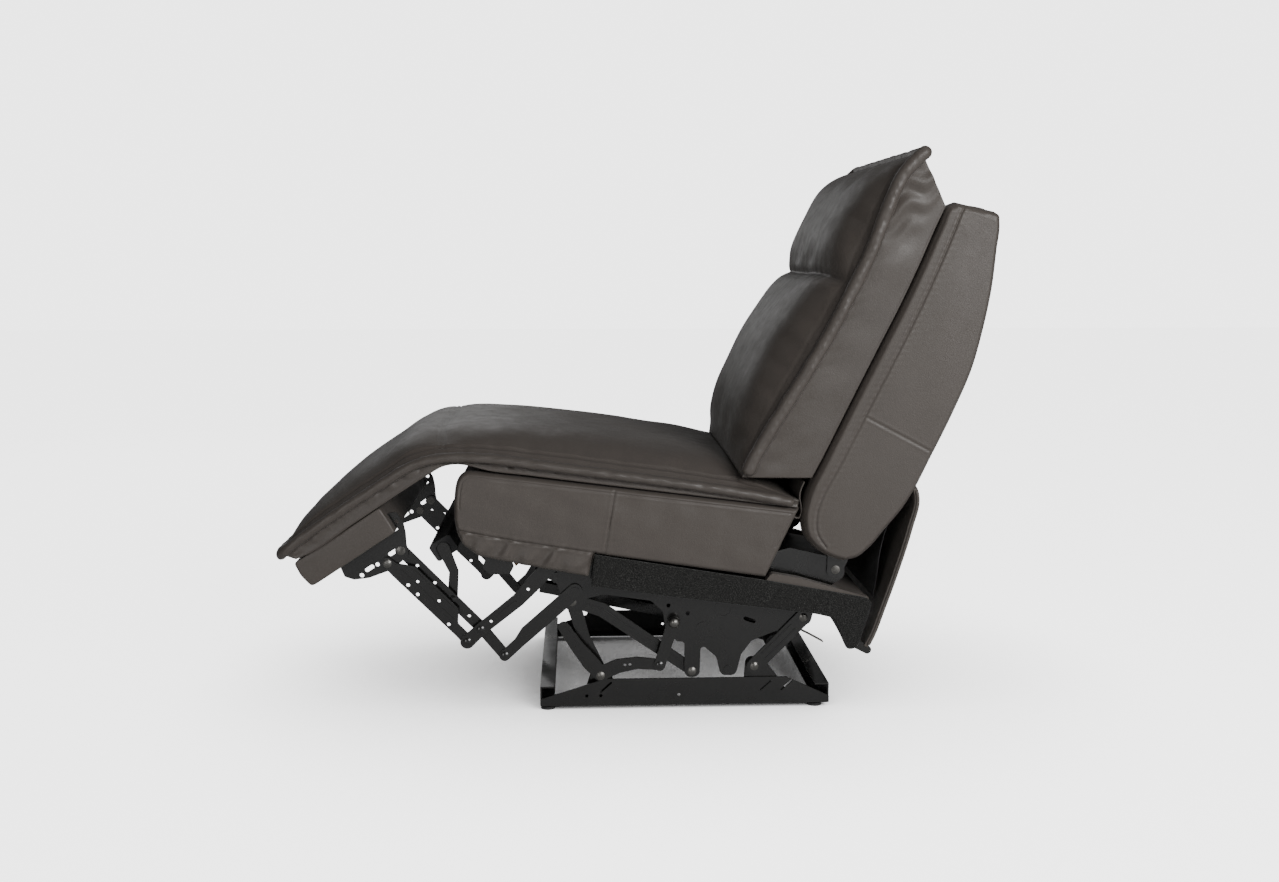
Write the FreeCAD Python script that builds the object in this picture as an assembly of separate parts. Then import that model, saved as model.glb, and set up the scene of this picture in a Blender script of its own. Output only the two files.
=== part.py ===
import FreeCAD, Part
import os
from math import atan2, cos, degrees, hypot, radians, sin, tan

# Armless recliner, power type. Millimetres. The chair faces -Y, +X is the sitter's left,
# +Z is up, the floor is Z = 0 and the chair is mirrored about X = 0.

os.makedirs("parts", exist_ok=True)
Vec = FreeCAD.Vector

# Base frame
rail_thick = 3.0
rail_front = -191.0
rail_length = 575.0
rail_floor_gap = 8.0       # underside of the rails above the floor
rail_height = 54.0
rail_end_height = 14.0
rail_front_taper = 128.0
rail_rear_taper = 86.0
flange_width = 33.0
channel_depth = 28.0
channel_height = 36.0
glide_radius = 14.0
glide_disc = 5.0
glide_stem = 4.0
glide_inset = 15.0         # glide centre from the rail's end
glide_across = 15.0        # glide centre inside the rail's outer face
glide_nut = 6.5

# Link plates, stacked outwards from the rail
link_thick = 4.0
layer_gap = 1.5
rail_clear = 3.0
web_clear = 1.0
ply_clear = 3.5            # outermost link plate to the plywood side rail
pin_radius = 5.0
pin_play = 0.1
pin_press = 0.05
head_radius = 8.5
head_thick = 1.2
dome_height = 3.0
collar_radius = 7.5
collar_play = 0.15
emboss = 1.0
lift_slack = 2.9           # extra hole radius at the one loose pivot of the seat lift
crank_slack = 2.4          # extra hole radius at the loose pivot of the bell crank

# Pivots at rest (Y, Z)
lift_base_y, lift_base_z = -71.5, 71.0
lift_top_y, lift_top_z = -127.0, 221.0
rear_base_y, rear_base_z = 232.0, 88.0
rear_top_y, rear_top_z = 328.0, 186.0
fold_y, fold_z = -318.0, 455.0       # fold of the chaise pad, the footrest's axis
arm_y, arm_z = -138.0, -127.5        # fold axis to the footrest's rear pivot
strut_y, strut_z = 151.4, -155.8     # footrest's rear pivot to the knee pivot
front_off_y, front_off_z = -26.0, -24.0
drive_off_y, drive_off_z = 45.5, -56.0
flipper_share = 0.634                # flipper pivot along the rear strut
ball_y, ball_z = 72.3, 181.7
crank_end_y, crank_end_z = 44.7, 92.0
tie_end_y, tie_end_z = 109.0, 78.0
saddle_y, saddle_z = 181.0, 81.0
hinge_y, hinge_z = 390.0, 281.0      # back hinge
panel_y, panel_z = 450.0, 127.0      # rear drop panel hinge

# Seat box
seat_tilt = 7.5                      # front up, degrees
seat_y, seat_z = -318.0, 487.0       # top front corner of the box
box_length = 635.0
seat_half = 316.0
cover_thick = 7.7
ply_thick = 16.0
cover_gap = 0.3
felt_thick = 6.0
felt_setback = 4.0                   # felt skirt inside the box's leather
deck_thick = 15.0
tube_radius = 11.0
tube_wall = 2.0

# Chaise pad
pad_over = 9.0                       # pad beyond the seat box on each side
pad_lift = 8.5                       # underside above the box corner line
pad_edge = 24.0
seat_crown = 50.0
leg_slope = 33.1
leg_gap = 64.0                       # underside of the leg pad above the fold axis
leg_edge = 42.0
leg_crown = 35.0
leg_start = 100.0
toe_end = 379.0
knee_start = 50.0

# Footrest
board_start = 166.5
board_length = 198.0
board_thick = 58.0
board_setback = 16.0                 # board inside the seat box's width

# Back
back_over = 6.0                      # shell beyond the seat box on each side
back_panel = 12.0

# Actuator
screw_slope = -12.0
crank_drop = 50.0                    # crank pin below the drive tube when square to the rail
crank_rest = -8.5                    # crank angle at rest from square, degrees
crank_swing = 41.5                   # largest crank angle either side of square
slide_per_degree = 1.021
crank_pin = 5.0
crank_slot = 7.6                     # half width of the crank's slot
crank_half = 14.0
crank_thick = 6.0
crank_inner = 20.0                   # inner face of each crank arm
screw_width = 34.0
screw_height = 22.0
screw_wall = 2.5
motor_run = 418.0                    # gear housing's front face along the rail
motor_length = 44.0
can_radius = 19.0
socket_radius = 7.0
socket_length = 14.0
socket_bore = 4.2
socket_depth = 10.0
socket_side = 72.0                   # socket from the middle, behind the motor's can

# Widths and link plate planes, inner faces, near side
pad_half = seat_half + pad_over
felt_half = seat_half - felt_setback
board_half = seat_half - board_setback
back_half = seat_half + back_over
x_ply = seat_half - cover_thick - cover_gap - ply_thick
x_outer = x_ply - ply_clear - link_thick
x_front = x_outer - layer_gap - link_thick
x_mid = x_front - layer_gap - link_thick
x_strut = x_mid - layer_gap - link_thick
base_half = x_strut - rail_clear     # outer face of each rail web
glide_side = base_half - glide_across
side_board = back_half - x_mid - link_thick - cover_gap
x_tie = base_half - rail_thick - web_clear - link_thick
x_lift = x_tie - layer_gap - link_thick
x_ear = x_lift - layer_gap - link_thick

lift_base = (lift_base_y, lift_base_z)
lift_top = (lift_top_y, lift_top_z)
rear_base = (rear_base_y, rear_base_z)
rear_top = (rear_top_y, rear_top_z)
fold = (fold_y, fold_z)
hinge = (hinge_y, hinge_z)
panel_axis = (panel_y, panel_z)
foot_rear = (fold_y + arm_y, fold_z + arm_z)
foot_front = (foot_rear[0] + front_off_y, foot_rear[1] + front_off_z)
knee = (foot_rear[0] + strut_y, foot_rear[1] + strut_z)
toe_pivot = (knee[0] + front_off_y, knee[1] + front_off_z)
seat_front = (fold_y + strut_y, fold_z + strut_z)
seat_drive = (seat_front[0] + drive_off_y, seat_front[1] + drive_off_z)
strut_end = (knee[0] + drive_off_y, knee[1] + drive_off_z)
flip_base = (foot_rear[0] + flipper_share * strut_y, foot_rear[1] + flipper_share * strut_z)
ball = (ball_y, ball_z)
crank_end = (crank_end_y, crank_end_z)
tie_end = (tie_end_y, tie_end_z)
saddle = (saddle_y, saddle_z)


# Shared shapes

def rounded_wire(points, radii, x):
    """Closed outline in the plane X = x, with an arc of its own radius at every corner."""
    edges, count = [], len(points)
    if not isinstance(radii, (list, tuple)):
        radii = [radii] * count
    ends = []
    for i in range(count):
        here = Vec(x, *points[i])
        before = Vec(x, *points[i - 1]) - here
        after = Vec(x, *points[(i + 1) % count]) - here
        turn = before.getAngle(after)
        reach = radii[i] / max(tan(turn / 2), 0.05)
        reach = min(reach, 0.48 * before.Length, 0.48 * after.Length)
        radius = reach * tan(turn / 2)
        start = here + before.normalize() * reach
        end = here + after.normalize() * reach
        middle = (before + after).normalize()
        top = here + middle * (hypot(radius, reach) - radius)
        ends.append((start, top, end))
    for i in range(count):
        start, top, end = ends[i]
        edges.append(Part.Arc(start, top, end).toShape())
        edges.append(Part.makeLine(end, ends[(i + 1) % count][0]))
    return Part.Wire(edges)


def plate(points, radii, x, thick):
    """Flat plate between X = x and x + thick."""
    return Part.Face(rounded_wire(points, radii, x)).extrude(Vec(thick, 0, 0))


def disc(centre, radius, x0, x1):
    return Part.makeCylinder(radius, x1 - x0, Vec(x0, *centre), Vec(1, 0, 0))


def brick(x0, x1, y0, y1, z0, z1):
    return Part.makeBox(x1 - x0, y1 - y0, z1 - z0, Vec(x0, y0, z0))


def link(stations, x, thick):
    """Flat bar along (y, z, half width) stations, round at each station."""
    shapes = [disc(stations[0][:2], stations[0][2], x, x + thick)]
    for (y0, z0, h0), (y1, z1, h1) in zip(stations, stations[1:]):
        run = hypot(y1 - y0, z1 - z0)
        ny, nz = -(z1 - z0) / run, (y1 - y0) / run
        corners = [
            (y0 + ny * h0, z0 + nz * h0),
            (y0 - ny * h0, z0 - nz * h0),
            (y1 - ny * h1, z1 - nz * h1),
            (y1 + ny * h1, z1 + nz * h1),
        ]
        wire = Part.makePolygon([Vec(x, *c) for c in corners] + [Vec(x, *corners[0])])
        shapes.append(Part.Face(wire).extrude(Vec(thick, 0, 0)))
        shapes.append(disc((y1, z1), h1, x, x + thick))
    return shapes[0].multiFuse(shapes[1:]).removeSplitter()


def drill(shape, holes, x, thick):
    """Round holes (centre, radius) through a plate."""
    return shape.cut(Part.makeCompound([disc(c, r, x - 1, x + thick + 1) for c, r in holes]))


def pin(
    centre, x0, x1, collars=(), inner_head=True, outer_head=True, radius=pin_radius, head=dome_height,
):
    """Rivet from x0 to x1 with a flat inner head, a domed outer head and collars between plates."""
    body = disc(centre, radius, x0, x1)
    extra = []
    if inner_head:
        extra.append(disc(centre, head_radius, x0 - head_thick, x0))
    if outer_head:
        ball_radius = (head_radius ** 2 + head ** 2) / (2 * head)
        dome = Part.makeSphere(ball_radius, Vec(x1 + head - ball_radius, *centre))
        extra.append(dome.common(disc(centre, head_radius, x1, x1 + head + 1)))
    for c0, c1 in collars:
        extra.append(disc(centre, collar_radius, c0 + collar_play, c1 - collar_play))
    return body.multiFuse(extra).removeSplitter() if extra else body


def flip(shape):
    return shape.mirror(Vec(0, 0, 0), Vec(1, 0, 0))


def save(name, solids):
    solids = solids if isinstance(solids, list) else [solids]
    found = [s for shape in solids for s in shape.Solids]
    shape = found[0] if len(found) == 1 else Part.makeCompound(found)
    shape.exportStep("parts/" + name + ".step")
    print(
        name, len(found), "solids", round(sum(s.Volume for s in found) / 1000, 1), "cm3",
        shape.isValid(),
    )


def save_pair(name, shape):
    save("left_" + name, shape)
    save("right_" + name, flip(shape))


def save_both(name, *shapes):
    """One node with each shape on both sides of the chair."""
    save(name, [side for shape in shapes for side in (shape, flip(shape))])


def along(start, end, share, side=0.0):
    """Point at a share of the way from start to end, moved sideways to its left."""
    y, z = end[0] - start[0], end[1] - start[1]
    run = hypot(y, z)
    return (start[0] + share * y - side * z / run, start[1] + share * z + side * y / run)


def in_seat(s, t):
    """Seat box coordinates: s rearwards from the top front corner, t up from its top line."""
    a = radians(seat_tilt)
    return (seat_y + s * cos(a) + t * sin(a), seat_z - s * sin(a) + t * cos(a))


def in_leg(run, up):
    """Leg rest coordinates: run towards the toe from the fold axis, up square to the leg pad."""
    a = radians(leg_slope)
    return (fold_y - run * cos(a) - up * sin(a), fold_z - run * sin(a) + up * cos(a))


def in_screw(run, up):
    """Actuator coordinates: run rearwards from below the drive tube, up square to the rail."""
    a = radians(screw_slope)
    foot_y = seat_drive[0] + crank_drop * sin(a)
    foot_z = seat_drive[1] - crank_drop * cos(a)
    return (foot_y + run * cos(a) - up * sin(a), foot_z + run * sin(a) + up * cos(a))


def hole(extra=0.0):
    return pin_radius + pin_play + extra


# Base

def base_rail():
    """Pressed steel rail: upright web with tapered ends and a flange turned inwards."""
    bottom = rail_floor_gap
    top = bottom + rail_height
    rear = rail_front + rail_length
    web = plate(
        [
            (rail_front, bottom),
            (rear, bottom),
            (rear, bottom + rail_end_height),
            (rear - rail_rear_taper, top),
            (rail_front + rail_front_taper, top),
            (rail_front, bottom + rail_end_height),
        ],
        2.0,
        base_half - rail_thick,
        rail_thick,
    )
    flange = brick(
        base_half - flange_width, base_half - rail_thick / 2, rail_front, rear, bottom,
        bottom + rail_thick,
    )
    slots = []
    for y in (rail_front + rail_front_taper, rear - rail_rear_taper - 44, rear - rail_rear_taper - 2):
        low, high = (y - 8, top - 26), (y + 12, top - 8)
        slots.append(link([low + (2.0,), high + (2.0,)], base_half - rail_thick - 1, rail_thick + 2))
    for y in (rail_front + 92, rail_front + 120, rail_front + 275):
        slots.append(disc((y, bottom + 20), 3.2, base_half - rail_thick - 1, base_half + 1))
    foot_holes = []
    for y in glide_places():
        foot_holes.append(Part.makeCylinder(glide_stem + pin_play, 20, Vec(glide_side, y, bottom - 5)))
    return web.fuse(flange).removeSplitter().cut(Part.makeCompound(slots + foot_holes))


def glide_places():
    return (rail_front + glide_inset, rail_front + rail_length - glide_inset - 12)


def cross_channel(front_face, opens):
    """Steel channel on the rails' flanges, open to the rear (opens = 1) or the front (-1)."""
    bottom = rail_floor_gap + rail_thick
    inner = base_half - rail_thick
    y0, y1 = sorted((front_face, front_face + opens * channel_depth))
    outer = brick(-inner, inner, y0, y1, bottom, bottom + channel_height)
    low = y0 + (rail_thick if opens > 0 else -1)
    high = y1 + (1 if opens > 0 else -rail_thick)
    hollow = brick(
        -inner - 1, inner + 1, low, high, bottom + rail_thick, bottom + channel_height - rail_thick,
    )
    channel = outer.cut(hollow)
    for y in glide_places():
        for x in (-glide_side, glide_side):
            channel = channel.cut(
                Part.makeCylinder(glide_nut + 1.2, rail_thick + 2, Vec(x, y, bottom - 1)),
            )
    return channel


def glides():
    solids = []
    for y in glide_places():
        for x in (-glide_side, glide_side):
            foot = Part.makeCylinder(glide_radius, glide_disc, Vec(x, y, 0))
            foot = foot.makeChamfer(1.2, [foot.Edges[0]])
            stem = Part.makeCylinder(
                glide_stem, rail_floor_gap + rail_thick + glide_nut - glide_disc, Vec(x, y, glide_disc),
            )
            flange_top = rail_floor_gap + rail_thick
            nut = Part.makeCylinder(glide_nut, glide_nut - 1, Vec(x, y, flange_top))
            washer = Part.makeCylinder(glide_nut, rail_floor_gap - glide_disc, Vec(x, y, glide_disc))
            solids.append(foot.multiFuse([stem, nut, washer]).removeSplitter())
    return solids


def bracket_foot(y0, y1, x0, x1):
    bottom = rail_floor_gap + rail_thick
    return brick(x0, x1, y0, y1, bottom, bottom + rail_thick)


def front_bracket():
    """Upright ear that carries the front lift link and the bell crank."""
    bottom = rail_floor_gap + rail_thick
    y, z = lift_base
    ear = plate(
        [
            (y - 38, bottom), (y + 42, bottom), (y + 15, z + 14), (y - 15, z + 14),
        ], [3, 3, 13, 13], x_ear, link_thick
    )
    foot = bracket_foot(y - 38, y + 42, base_half - flange_width, x_ear + 1)
    return drill(
        ear.fuse(foot).removeSplitter(), [(lift_base, pin_radius + pin_press)], x_ear, link_thick,
    )


def rear_bracket():
    """Upright ear for the rear lift link, with a sloping gusset to the rear."""
    bottom = rail_floor_gap + rail_thick
    y, z = rear_base
    ear = plate(
        [
            (y - 20, bottom), (y + 74, bottom), (y + 60, bottom + 36), (y + 17, z + 15),
            (y - 15, z + 15), (y - 18, z - 20),
        ],
        [3, 3, 8, 13, 13, 6],
        x_tie,
        link_thick,
    )
    foot = bracket_foot(y - 20, y + 74, base_half - flange_width, x_tie + 1)
    ear = ear.fuse(foot).removeSplitter()
    lightening = ((y + 34, bottom + 30), 7.0)
    return drill(ear, [(rear_base, pin_radius + pin_press), lightening], x_tie, link_thick)


def build_base():
    save_pair("base_rail", base_rail())
    save("front_cross_channel", cross_channel(rail_front, 1))
    save("rear_cross_channel", cross_channel(rail_front + rail_length, -1))
    save("base_glides", glides())
    save_both("pivot_brackets", front_bracket(), rear_bracket())
    front = pin(
        lift_base, x_ear, x_strut + link_thick,
        [(x_ear + link_thick, x_lift), (x_lift + link_thick, x_strut)],
    )
    rear = pin(rear_base, x_tie, x_mid + link_thick, [(x_tie + link_thick, x_mid)])
    save_both("base_pivot_pins", front, rear)


# Seat lift

def front_lift_link():
    stations = [lift_base + (14.0,), along(lift_base, lift_top, 0.5, 5.0) + (12.0,), lift_top + (14.0,)]
    bar = link(stations, x_lift, link_thick)
    return drill(bar, [(lift_base, hole()), (lift_top, hole())], x_lift, link_thick)


def rear_lift_link():
    stations = [rear_base + (15.0,), rear_top + (15.0,)]
    bar = link(stations, x_mid, link_thick)
    ribs = []
    for side in (-6.0, 6.0):
        ends = [along(rear_base, rear_top, share, side) + (2.2,) for share in (0.2, 0.8)]
        ribs.append(link(ends, x_mid + link_thick - 0.2, emboss + 0.2))
    bar = bar.multiFuse(ribs).removeSplitter()
    return drill(bar, [(rear_base, hole()), (rear_top, hole(lift_slack))], x_mid, link_thick)


def bell_crank():
    """Cranked plate on the front base pivot; its left arm is ribbed."""
    y, z = lift_base
    left = (y - 72.0, z + 99.0)
    bend = (y - 46.0, z + 60.0)
    stations = [
        left + (11.0,),
        bend + (13.0,),
        (y - 20.0, z + 27.0, 16.0),
        (y, z + 4.0, 14.5),
        (y + 34.0, z + 19.0, 14.0),
        (y + 72.0, z + 25.0, 12.0),
        crank_end + (11.0,),
    ]
    crank = link(stations, x_strut, link_thick)
    rib = link(
        [along(left, bend, 0.1) + (5.0,), along(left, bend, 0.95) + (5.0,)], x_strut + link_thick - 0.2,
        emboss + 0.2,
    )
    crank = crank.fuse(rib).removeSplitter()
    small = [((y + 48.0, z + 21.0), 3.0), ((y + 58.0, z + 22.0), 3.0)]
    return drill(
        crank, [(lift_base, hole()), (crank_end, pin_radius + pin_press)] + small, x_strut, link_thick,
    )


def crank_pin_rivet():
    return pin(crank_end, x_strut, x_mid + link_thick, [(x_strut + link_thick, x_mid)])


def short_link():
    bar = link([ball + (12.0,), crank_end + (11.0,)], x_mid, link_thick)
    return drill(bar, [(ball, hole()), (crank_end, hole(crank_slack))], x_mid, link_thick)


def build_seat_lift():
    save_both("front_lift_links", front_lift_link())
    save_both("rear_lift_links", rear_lift_link())
    save_both("bell_cranks", bell_crank(), crank_pin_rivet())
    save_both("short_links", short_link())


# Seat frame

def seat_plate():
    """Large stamped side plate that carries every seat pivot."""
    top_front = (seat_front[0] - 40, in_seat(115, -100)[1])
    points = [
        top_front,
        (seat_front[0] - 46, seat_front[1] + 4),
        (seat_front[0] - 22, seat_front[1] - 22),
        (seat_front[0] + 12, seat_front[1] - 42),
        (lift_top_y - 20, lift_top_z + 4),
        (lift_top_y - 10, lift_top_z - 17),
        (lift_top_y + 14, lift_top_z - 15),
        (seat_drive[0] + 22, seat_drive[1] - 16),
        (seat_drive[0] + 56, seat_drive[1] - 8),
        (ball_y - 45, ball_z + 40),
        (ball_y - 21, ball_z + 18),
        (ball_y - 17, ball_z - 14),
        (ball_y + 6, ball_z - 42),
        (tie_end_y - 15, ball_z - 44),
        (tie_end_y - 15, tie_end_z - 12),
        (tie_end_y + 15, tie_end_z - 12),
        (tie_end_y + 17, ball_z - 48),
        (saddle_y - 24, saddle_z + 26),
        (saddle_y - 15, saddle_z - 12),
        (saddle_y + 15, saddle_z - 12),
        (saddle_y + 25, saddle_z + 30),
        (saddle_y + 46, saddle_z + 58),
        (rear_top_y - 22, rear_top_z - 16),
        (rear_top_y + 14, rear_top_z - 17),
        (rear_top_y + 22, rear_top_z + 16),
        (hinge_y - 16, hinge_z - 38),
        (hinge_y + 20, hinge_z - 14),
        (hinge_y + 16, hinge_z + 19),
        (hinge_y - 90, hinge_z + 44),
        in_seat(box_length - 46, -98),
    ]
    radii = [
        14, 12, 16, 14, 10, 13, 13, 10, 20, 16, 10, 10, 10, 6, 13, 13, 6, 16, 13, 13, 14, 12, 14, 14,
        14, 14, 16, 16, 14, 14,
    ]
    shape = plate(points, radii, x_strut, link_thick)
    outside = x_strut + link_thick - 0.2
    boss_one = (ball_y + 58, ball_z - 18)
    boss_two = (ball_y + 98, ball_z + 22)
    raised = [
        disc(boss_one, 14.0, outside, outside + emboss + 0.2),
        disc(
            boss_two, 18.0, outside, outside + emboss + 0.2,
        ).cut(disc(boss_two, 14.0, outside - 1, outside + 3)),
    ]
    shape = shape.multiFuse(raised + [stop_peg(), skirt_batten()]).removeSplitter()
    slot = link(
        [(ball_y + 142, ball_z + 2, 4.0), (ball_y + 158, ball_z - 4, 4.0)], x_strut - 1, link_thick + 2,
    )
    shape = shape.cut(slot)
    pressed = pin_radius + pin_press
    holes = [(p, pressed) for p in (seat_front, lift_top, ball, tie_end, saddle, rear_top, hinge)]
    holes.append((seat_drive, hole(1.0)))
    holes += [((ball_y + 28, ball_z + 14), 4.5), ((ball_y - 10, ball_z + 30), 4.0)]
    holes += [(p, 4.0 + pin_press) for p in plate_bolts()]
    return drill(shape, holes, x_strut, link_thick)


def plate_bolts():
    """Bolt places that join the seat plate to the wooden side rail."""
    return [in_seat(s, -112) for s in (150, 330, 510)]


def plate_bolt(place):
    shank = disc(place, 4.0, x_strut - 3.0, x_ply + ply_thick - 1.0)
    head = disc(place, 7.0, x_strut - 6.0, x_strut)
    sleeve = disc(place, 8.0, x_strut + link_thick, x_ply)
    return shank.multiFuse([head, sleeve]).removeSplitter()


def tie_link():
    """Long ribbed tie between the front lift pivot and the post of the seat plate."""
    bend = along(lift_top, tie_end, 0.22, 14.0)
    bar = link([lift_top + (13.0,), bend + (14.0,), tie_end + (12.0,)], x_tie, link_thick)
    rib = link(
        [along(lift_top, bend, 0.5) + (2.6,), bend + (2.6,), along(bend, tie_end, 0.85) + (2.6,)],
        x_tie + link_thick - 0.2, emboss + 0.2,
    )
    bar = bar.fuse(rib).removeSplitter()
    return drill(bar, [(lift_top, hole()), (tie_end, pin_radius + pin_press)], x_tie, link_thick)


def tube(centre, radius, x0, x1):
    return disc(centre, radius, x0, x1).cut(disc(centre, radius - tube_wall, x0 - 1, x1 + 1))


def front_tube_centre():
    return (seat_drive[0] + 90, in_seat(278, -140)[1])


def seat_tubes():
    """Cross tubes between the seat plates; the low one carries the actuator."""
    front = tube(front_tube_centre(), tube_radius, -x_strut, x_strut)
    low = disc(saddle, tube_radius, -x_lift, x_lift)
    for x0, x1 in ((x_lift, x_strut + link_thick), (-x_strut - link_thick, -x_lift)):
        low = low.fuse(disc(saddle, pin_radius, x0, x1))
    nut = disc(saddle, head_radius, x_strut + link_thick, x_strut + link_thick + head_thick)
    return [front, low.multiFuse([nut, flip(nut)]).removeSplitter()]


def stop_peg():
    place = (seat_front[0] + 7, seat_front[1] - 30)
    return plate(
        [
            (place[0] - 4, place[1] - 8), (place[0] + 4, place[1] - 8), (place[0] + 4, place[1] + 12),
            (place[0] - 4, place[1] + 12),
        ],
        [3.5, 3.5, 1, 1],
        x_strut + link_thick - 1,
        layer_gap + link_thick + 3,
    )


def seat_pins():
    solids = [
        pin(seat_front, x_strut, x_outer + link_thick, [(x_strut + link_thick, x_outer)]),
        pin(
            lift_top, x_lift, x_strut + link_thick,
            [(x_lift + link_thick, x_tie), (x_tie + link_thick, x_strut)], head=head_thick,
        ),
        pin(tie_end, x_tie, x_strut + link_thick, [(x_tie + link_thick, x_strut)]),
        pin(rear_top, x_strut, x_mid + link_thick, [(x_strut + link_thick, x_mid)]),
        pin(hinge, x_strut, x_mid + link_thick, [(x_strut + link_thick, x_mid)], head=head_thick),
    ]
    stud = disc(ball, pin_radius, x_strut, x_mid + link_thick + 2)
    knob = Part.makeSphere(12.0, Vec(x_mid + link_thick + 9, *ball)).common(
        disc(ball, 13.0, x_mid + link_thick + 0.3, x_mid + 40),
    )
    solids.append(stud.fuse(knob).removeSplitter())
    return solids


def side_rail():
    """Plywood side of the seat box."""
    points = [
        in_seat(-4, -26), in_seat(10, -12), in_seat(box_length - 16, -10),
        in_seat(box_length - 52, -126), in_seat(70, -126), in_seat(2, -110),
    ]
    rail = plate(points, [10, 12, 6, 6, 14, 14], x_ply, ply_thick)
    return drill(rail, [(p, 4.0 + pin_press) for p in plate_bolts()], x_ply, ply_thick)


def side_cover():
    """Leather over thin foam on the side of the seat box, with its vertical and lower seams."""
    points = [
        in_seat(-24, -30),
        in_seat(-4, 0),
        in_seat(box_length, 5),
        in_seat(box_length - 46, -137),
        in_seat(252, -127),
        in_seat(242, -179),
        in_seat(38, -165),
        in_seat(-8, -128),
    ]
    radii = [26, 26, 10, 6, 4, 6, 22, 18]
    shape = plate(points, radii, x_ply + ply_thick + cover_gap, cover_thick)
    rim = [e for e in shape.Edges if all(abs(v.X - seat_half) < 0.01 for v in e.Vertexes)]
    shape = shape.makeFillet(cover_thick * 0.55, rim)
    groove = 1.6
    upright = link([in_seat(277, -2) + (groove,), in_seat(273, -124) + (groove,)], seat_half - 1.5, 3)
    lower = link(
        [in_seat(-6, -118) + (groove,), in_seat(120, -124) + (groove,), in_seat(251, -128) + (groove,)],
        seat_half - 1.5,
        3,
    )
    return shape.cut(upright).cut(lower)


def front_panel():
    """Padded leather front of the seat box, rolled under at the bottom."""
    points = [
        in_seat(4, -4),
        in_seat(-20, -26),
        in_seat(-21, -58),
        in_seat(-10, -124),
        in_seat(36, -165),
        in_seat(46, -154),
        in_seat(6, -114),
        in_seat(-4, -56),
        in_seat(-2, -32),
        in_seat(12, -18),
    ]
    half = x_ply - cover_gap
    return plate(points, [14, 18, 20, 24, 4, 4, 14, 14, 8, 4], -half, 2 * half)


def bottom_board():
    """Plywood under the front of the seat, on which the corner blocks sit."""
    low = [in_seat(52, -156), in_seat(130, -166), in_seat(130, -154), in_seat(52, -144)]
    half = x_tie
    return plate(low, 2.0, -half, 2 * half)


def corner_blocks():
    """Small plywood triangles glued under the bottom board."""
    a, b = in_seat(88, -161.0), in_seat(124, -165.6)
    block = plate([a, ((a[0] + b[0]) / 2 - 2, b[1] - 18), b], 1.5, x_lift - 14, 14)
    return [block, flip(block)]


def front_rail():
    """Steel angle across the front, with a tab bent down at each end as a stop."""
    half = x_ply + link_thick
    low, top = -143.5, -114.0
    leaf = plate(
        [in_seat(54, low), in_seat(84, low), in_seat(84, low + 3), in_seat(54, low + 3)], 0.8, -half,
        2 * half,
    )
    upright = plate(
        [in_seat(80, low), in_seat(84, low), in_seat(84, top), in_seat(80, top)], 0.8,
        cover_gap - x_ply, 2 * (x_ply - cover_gap),
    )
    tab = plate(
        [
            in_seat(54, low + 3), in_seat(44, -186), in_seat(60, -198), in_seat(98, -192),
            in_seat(104, -176), in_seat(84, low + 3),
        ],
        [1, 6, 6, 6, 6, 1],
        x_ply,
        link_thick,
    )
    return leaf.multiFuse([upright, tab, flip(tab)]).removeSplitter()


def seat_boards():
    """Front and rear plywood boards that hold the springs."""
    half = x_ply - cover_gap
    front = plate(
        [in_seat(8, -112), in_seat(8, -50), in_seat(24, -50), in_seat(24, -112)], 1.0, -half, 2 * half,
    )
    rear = plate(
        [
            in_seat(box_length - 72, -94), in_seat(box_length - 72, -50), in_seat(box_length - 54, -50),
            in_seat(box_length - 54, -94),
        ],
        1.0,
        -half,
        2 * half,
    )
    return front, rear


def zigzag_spring(x, start, end, drop, waves, reach):
    """Sinuous wire spring between two boards: straight runs across joined by half turns."""
    wire_radius = 1.9
    s0, s1 = start + wire_radius, end - wire_radius
    pitch = (s1 - s0) / waves
    turn = pitch / 2
    edges = []
    across = reach
    a = radians(seat_tilt)
    way = Vec(0, cos(a), -sin(a))
    for i in range(waves):
        y, z = in_seat(s0 + i * pitch, drop)
        here = Vec(x - across, y, z)
        there = Vec(x + across, y, z)
        begin, finish = (here, there) if i % 2 == 0 else (there, here)
        edges.append(Part.makeLine(begin, finish))
        if i < waves - 1:
            out = Vec(1 if i % 2 == 0 else -1, 0, 0)
            edges.append(
                Part.Arc(finish, finish + out * turn + way * turn, finish + way * pitch).toShape(),
            )
    path = Part.Wire(edges)
    first = edges[0].firstVertex().Point
    ring = Part.Wire(Part.makeCircle(wire_radius, first, Vec(1, 0, 0)))
    return path.makePipeShell([ring], True, False)


def seat_springs():
    return [zigzag_spring(x, 24.3, box_length - 72.3, -56, 13, 26) for x in (-220, -110, 0, 110, 220)]


def seat_foam():
    half = x_ply - cover_gap
    points = [
        in_seat(14, -46), in_seat(14, -10), in_seat(60, 6), in_seat(box_length - 80, 6),
        in_seat(box_length - 50, -6), in_seat(box_length - 50, -46),
    ]
    return plate(points, [10, 16, 30, 20, 10, 10], -half, 2 * half)


def felt_skirt():
    """Felt covered board below the seat box, with a tab at its rear end."""
    points = [
        in_seat(255, -131.5),
        in_seat(589, -141.5),
        in_seat(800, -153),
        in_seat(803, -170),
        in_seat(790, -255),
        in_seat(768, -261),
        in_seat(738, -201),
        in_seat(700, -196),
        in_seat(254, -195),
    ]
    return plate(points, [4, 20, 12, 10, 12, 8, 10, 8, 4], felt_half - felt_thick, felt_thick)


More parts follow.
